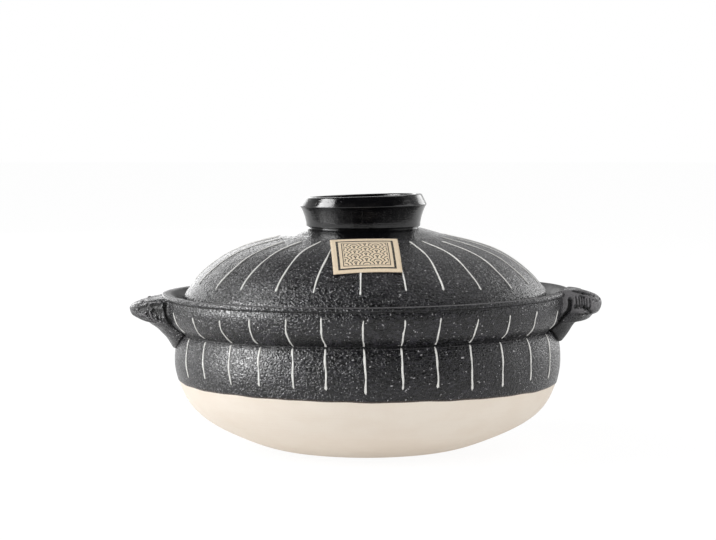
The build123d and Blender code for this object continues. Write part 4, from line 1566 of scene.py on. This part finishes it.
@dataclass(frozen=True)
class Studio:
    """A pale floor, soft lamps and the camera at the photograph's place.

    The camera's place and pitch were fitted to the outlines of the rim, the foot and the knob. What gloss
    sees of the world changes with the direction's Y and Z: from where to where, and its light at both ends.
    """

    lens: float = 127.8
    sensor: float = 36.0
    camera_place: tuple[float, float, float] = (-0.0051, -1.750, 0.2537)
    camera_pitch: float = 4.30
    floor_half: float = 6.0
    world_light: float = 0.68
    gloss_by_depth: tuple[float, ...] = (-0.2, 0.6, 0.08, 1.0)
    gloss_by_height: tuple[float, ...] = (0.22, 0.62, 0.95, 0.26)
    floor_bounce: float = 0.34
    floor_glow: float = 1.06
    floor_glow_share: float = 0.85
    lamps: tuple[Lamp, ...] = (
        Lamp("key_softbox", (-1.9, -0.30, 0.75), (-0.05, 0, 0.07), (1.5, 1.3), 22.0),
        Lamp("key_sheen", (-1.9, -0.50, 0.45), (-0.05, 0, 0.07), (1.3, 0.8), 70.0, diffuse=False),
        Lamp("knob_sheen", (-1.55, -0.05, 1.35), (-0.05, 0, 0.17), (0.9, 0.6), 24.0, diffuse=False),
        Lamp("front_fill", (0.2, -2.1, 2.2), (0, 0, 0.05), (2.2, 1.6), 11.5, glossy=False),
        Lamp("right_fill", (1.8, -0.25, 0.6), (0.05, 0, 0.07), (1.5, 1.1), 7.0),
        Lamp("top_sheen", (0.9, 0.6, 2.0), (0.05, 0, 0.1), (1.6, 1.2), 8.5, diffuse=False),
        Lamp("back_sheen_left", (-0.8, 2.3, 0.5), (-0.05, 0, 0.1), (1.5, 0.9), 10.0, diffuse=False),
        Lamp("back_sheen_right", (1.4, 1.8, 0.5), (0.05, 0, 0.1), (1.0, 0.9), 8.5, diffuse=False))

    def build(self) -> None:
        """Set up the view, the world, the floor, the lamps and the camera."""
        scene = bpy.context.scene
        scene.view_settings.view_transform = "Standard"
        self._world(scene)
        self._floor(scene)
        for lamp in self.lamps:
            lamp.add()
        camera = bpy.data.objects.new("camera", bpy.data.cameras.new("camera"))
        camera.data.sensor_width = self.sensor
        camera.data.lens = self.lens
        camera.location = self.camera_place
        camera.rotation_euler = (radians(90 - self.camera_pitch), 0, 0)
        scene.collection.objects.link(camera)
        scene.camera = camera

    def _world(self, scene: bpy.types.Scene) -> None:
        """White to the camera, and to gloss from behind; dimmer where it lights the pot and in front."""
        world = bpy.data.worlds.new("studio")
        scene.world = world
        world.use_nodes = True
        tree = world.node_tree
        tree.nodes.clear()
        place = tree.nodes.new("ShaderNodeTexCoord")
        split = tree.nodes.new("ShaderNodeSeparateXYZ")
        tree.links.new(place.outputs["Generated"], split.inputs[0])
        shares = []
        for axis, numbers in (("Y", self.gloss_by_depth), ("Z", self.gloss_by_height)):
            share = tree.nodes.new("ShaderNodeMapRange")
            for socket, number in zip(share.inputs[1:5], numbers):
                socket.default_value = number
            tree.links.new(split.outputs[axis], share.inputs[0])
            shares.append(share)
        back = tree.nodes.new("ShaderNodeMath")
        back.operation = "MULTIPLY"
        for socket, share in zip(back.inputs, shares):
            tree.links.new(share.outputs[0], socket)
        rays = tree.nodes.new("ShaderNodeLightPath")
        seen = tree.nodes.new("ShaderNodeMix")
        seen.inputs[2].default_value = self.world_light
        tree.links.new(rays.outputs["Is Glossy Ray"], seen.inputs[0])
        tree.links.new(back.outputs[0], seen.inputs[3])
        camera = tree.nodes.new("ShaderNodeMix")
        tree.links.new(rays.outputs["Is Camera Ray"], camera.inputs[0])
        tree.links.new(seen.outputs[0], camera.inputs[2])
        camera.inputs[3].default_value = 1.0
        background = tree.nodes.new("ShaderNodeBackground")
        background.inputs["Color"].default_value = (1, 1, 1, 1)
        tree.links.new(camera.outputs[0], background.inputs["Strength"])
        output = tree.nodes.new("ShaderNodeOutputWorld")
        tree.links.new(background.outputs[0], output.inputs["Surface"])

    def _floor(self, scene: bpy.types.Scene) -> None:
        """A pale floor that keeps a soft shadow and reads as white to the camera."""
        nodes = NodeTree("studio_floor")
        nodes.shade(Base_Color=(0.86, 0.86, 0.86, 1.0), Roughness=0.9)
        glow = nodes.add("ShaderNodeEmission")
        rays = nodes.add("ShaderNodeLightPath")
        mix = nodes.add("ShaderNodeMixShader")
        output = next(n for n in nodes.tree.nodes if n.type == "OUTPUT_MATERIAL")
        seen = nodes.times(rays.outputs["Is Camera Ray"], self.floor_glow_share - self.floor_bounce)
        nodes.feed(mix.inputs[0], nodes.maths("ADD", seen, self.floor_bounce))
        glow.inputs["Strength"].default_value = self.floor_glow
        nodes.feed(mix.inputs[1], nodes.shader.outputs["BSDF"])
        nodes.feed(mix.inputs[2], glow.outputs[0])
        nodes.feed(output.inputs["Surface"], mix.outputs[0])
        half = self.floor_half
        mesh = bpy.data.meshes.new("floor")
        square = [(-half, -half, 0), (half, -half, 0), (half, half, 0), (-half, half, 0)]
        mesh.from_pydata(square, [], [(0, 1, 2, 3)])
        mesh.materials.append(nodes.material)
        floor = bpy.data.objects.new("floor", mesh)
        scene.collection.objects.link(floor)


def woven(rows: tuple[float, ...], pitch: float, reach: float, shift: float, depth: float,
          seed: int) -> list[Stroke]:
    """Grooves of a pressed weave: long ones between the rows, short ones across each row, staggered.

    Args:
        rows: lengths down the section at which the long grooves lie.
        pitch: length between two short grooves.
        reach: how far along to each side of the tip the weave goes.
        shift: place of the first row's middle groove.
        depth: how deep the grooves are.
        seed: number of the small irregularities.

    Returns:
        The strokes.
    """
    luck = np.random.RandomState(seed)
    strokes = []
    for i, row in enumerate(rows):
        knots = np.linspace(-reach, reach, 9) + luck.uniform(-1.0, 1.0, 9)
        falls = row + luck.uniform(-0.35, 0.35, 9)
        strokes += [Stroke((knots[j], falls[j]), (knots[j + 1], falls[j + 1]), 1.3, depth) for j in range(8)]
        if i + 1 < len(rows):
            count = int(reach / pitch)
            for n in range(-count, count + 1):
                place = shift + (n + 0.5 * (i % 2)) * pitch + luck.uniform(-0.8, 0.8)
                lean = luck.uniform(-0.9, 0.9)
                strokes.append(Stroke((place, row + 0.6), (place + lean, rows[i + 1] - 0.6), 1.2, depth))
    return strokes


def both_ways(strokes: list[tuple[float, float, float, float, float, float]]) -> list[Stroke]:
    """Strokes (along, down, along, down, width, depth) in front of the tip, and their likes behind it."""
    made = []
    for a0, d0, a1, d1, width, depth in strokes:
        made.append(Stroke((a0, d0), (a1, d1), width, depth))
        made.append(Stroke((-a0, d0), (-a1, d1), width, depth))
    return made


LEFT_STROKES = both_ways([
    (-29.0, 28.5, -36.4, 28.0, 2.9, 1.7), (-37.4, 26.2, -40.4, 28.4, 1.6, 1.4),
    (-41.6, 27.2, -48.2, 27.2, 1.8, 1.4), (-43.2, 29.1, -48.8, 30.4, 3.2, 1.6),
    (-37.6, 29.6, -39.1, 32.2, 1.5, 1.2), (-45.9, 32.3, -44.5, 35.4, 1.4, 0.9),
    (-43.2, 38.6, -42.6, 39.8, 1.5, 0.8), (-37.2, 28.7, -42.2, 28.9, 1.1, -0.7),
    (-40.6, 30.2, -41.6, 34.8, 1.6, -1.0), (-35.3, 30.8, -37.5, 33.8, 1.5, -0.8),
    (-28.8, 30.5, -35.2, 31.0, 1.5, -0.8), (-40.4, 25.8, -48.6, 26.2, 1.2, -0.7),
    (-17.0, 31.6, -24.5, 35.6, 1.8, 0.9), (-24.5, 35.6, -31.8, 38.6, 1.8, 0.9),
    (-31.8, 38.6, -40.6, 40.2, 1.6, 0.8), (-44.1, 34.3, -44.2, 34.5, 2.0, -0.9),
    (-40.8, 36.2, -40.9, 36.4, 1.9, -0.7), (-37.9, 35.4, -38.0, 35.6, 1.9, -0.7),
    (-45.0, 37.5, -45.1, 37.7, 1.9, -0.7), (-47.1, 39.5, -47.2, 39.7, 1.9, -0.7),
    (-48.9, 41.0, -49.0, 41.2, 1.9, -0.7), (-30.0, 23.6, -31.2, 22.8, 1.2, -0.7)]) + woven(
    (8.6, 15.4, 22.2), 9.2, 46.0, -2.0, 0.35, 5)

RIGHT_STROKES = both_ways([
    (-46.5, 24.6, -37.6, 25.7, 1.1, 1.0), (-37.6, 25.7, -25.0, 26.4, 1.1, 1.0),
    (-25.0, 26.4, -12.0, 26.8, 1.1, 0.9), (-43.0, 23.4, -32.0, 24.6, 1.5, -0.5),
    (-36.0, 26.9, -24.5, 27.6, 0.9, -0.4), (-41.2, 26.9, -37.0, 27.5, 0.9, 0.6),
    (-29.5, 28.2, -22.0, 28.6, 1.0, 0.7), (-46.6, 25.2, -46.0, 28.0, 1.2, -0.5),
    (-44.6, 27.6, -44.4, 30.0, 1.2, 0.8), (-42.1, 27.6, -42.0, 30.2, 1.2, 0.8),
    (-39.9, 27.8, -39.8, 30.4, 1.2, 0.8), (-37.8, 28.0, -37.7, 30.5, 1.2, 0.8),
    (-35.4, 28.2, -35.3, 30.8, 1.2, 0.8), (-32.2, 28.0, -32.0, 31.4, 1.3, 0.9),
    (-46.0, 30.9, -37.2, 31.4, 1.3, 1.0), (-37.2, 31.4, -33.4, 32.6, 1.6, 1.4),
    (-33.4, 32.6, -28.6, 35.4, 1.4, 1.1), (-34.2, 36.2, -30.6, 37.4, 2.6, 1.3),
    (-30.6, 37.4, -17.0, 40.2, 1.3, 0.8), (-44.0, 32.6, -39.0, 32.4, 1.1, -0.6),
    (-42.0, 34.0, -38.0, 34.4, 1.1, -0.6), (-45.0, 35.6, -37.0, 36.2, 1.2, 0.6)]) + woven(
    (8.0, 14.2, 20.4), 9.0, 46.0, 2.5, 0.55, 9)


LEFT_SECTION = (
    (136.8, 106.0, 0.38), (141.7, 105.4, 0.52), (145.0, 104.9, 0.60), (149.5, 104.2, 0.70),
    (154.0, 103.2, 0.80),
    (157.9, 102.1, 0.89), (160.5, 101.2, 0.955), (161.8, 100.2, 0.985), (162.4, 98.4, 1.0),
    (162.0, 96.5, 1.0),
    (160.9, 94.5, 1.0), (158.3, 92.8, 0.995), (155.4, 91.3, 0.99), (152.4, 90.2, 0.98), (150.3, 89.7, 0.975),
    (148.8, 88.6, 0.965), (146.9, 87.3, 0.95), (144.1, 85.3, 0.925), (141.4, 82.4, 0.89), (138.7, 79.4, 0.86),
    (136.1, 75.7, 0.81), (133.8, 71.7, 0.75), (131.1, 68.0, 0.68), (128.9, 66.3, 0.64))
RIGHT_SECTION = (
    (136.8, 107.9, 0.38), (141.4, 107.8, 0.52), (144.9, 107.7, 0.60), (148.4, 107.2, 0.68),
    (151.9, 106.4, 0.76),
    (155.4, 105.3, 0.84), (158.3, 103.9, 0.90), (160.5, 102.5, 0.95), (162.0, 100.8, 0.985),
    (162.6, 99.0, 1.0),
    (162.6, 97.4, 1.0), (162.1, 95.5, 1.0), (161.2, 93.6, 1.0), (159.6, 91.9, 1.0), (157.0, 91.1, 0.995),
    (155.7, 90.1, 0.99), (154.0, 88.5, 0.98), (151.4, 87.3, 0.97), (148.9, 86.9, 0.96), (146.4, 86.6, 0.95),
    (143.8, 85.5, 0.93), (140.9, 82.7, 0.90), (138.8, 80.1, 0.87), (136.6, 77.3, 0.84), (134.1, 74.5, 0.80),
    (131.6, 71.9, 0.75), (129.5, 69.3, 0.68), (128.6, 67.6, 0.64))


def main() -> None:
    """Build the pot piece by piece, then the studio."""
    logging.basicConfig(level=logging.INFO, format="%(name)s %(message)s")
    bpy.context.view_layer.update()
    finishes = Finishes.made()
    bowl = Bowl()
    bowl.build(finishes)
    Lug(bowl, "left_lug", "left_handle", -1, LEFT_SECTION, 7, 0.021, LEFT_STROKES,
        top_painted_light=0.45).build(finishes.matt)
    Lug(bowl, "right_lug", "right_handle", 1, RIGHT_SECTION, 8, 0.048, RIGHT_STROKES,
        joint_offsets=(0.0, 1.5, 4.2, 4.6), bridge_painted_light=0.42, face_painted_light=0.8,
        neck_shade=0.6).build(finishes.matt)
    Lid().build(finishes)
    Studio().build()
    log.info("size written")


if __name__ == "__main__":
    main()
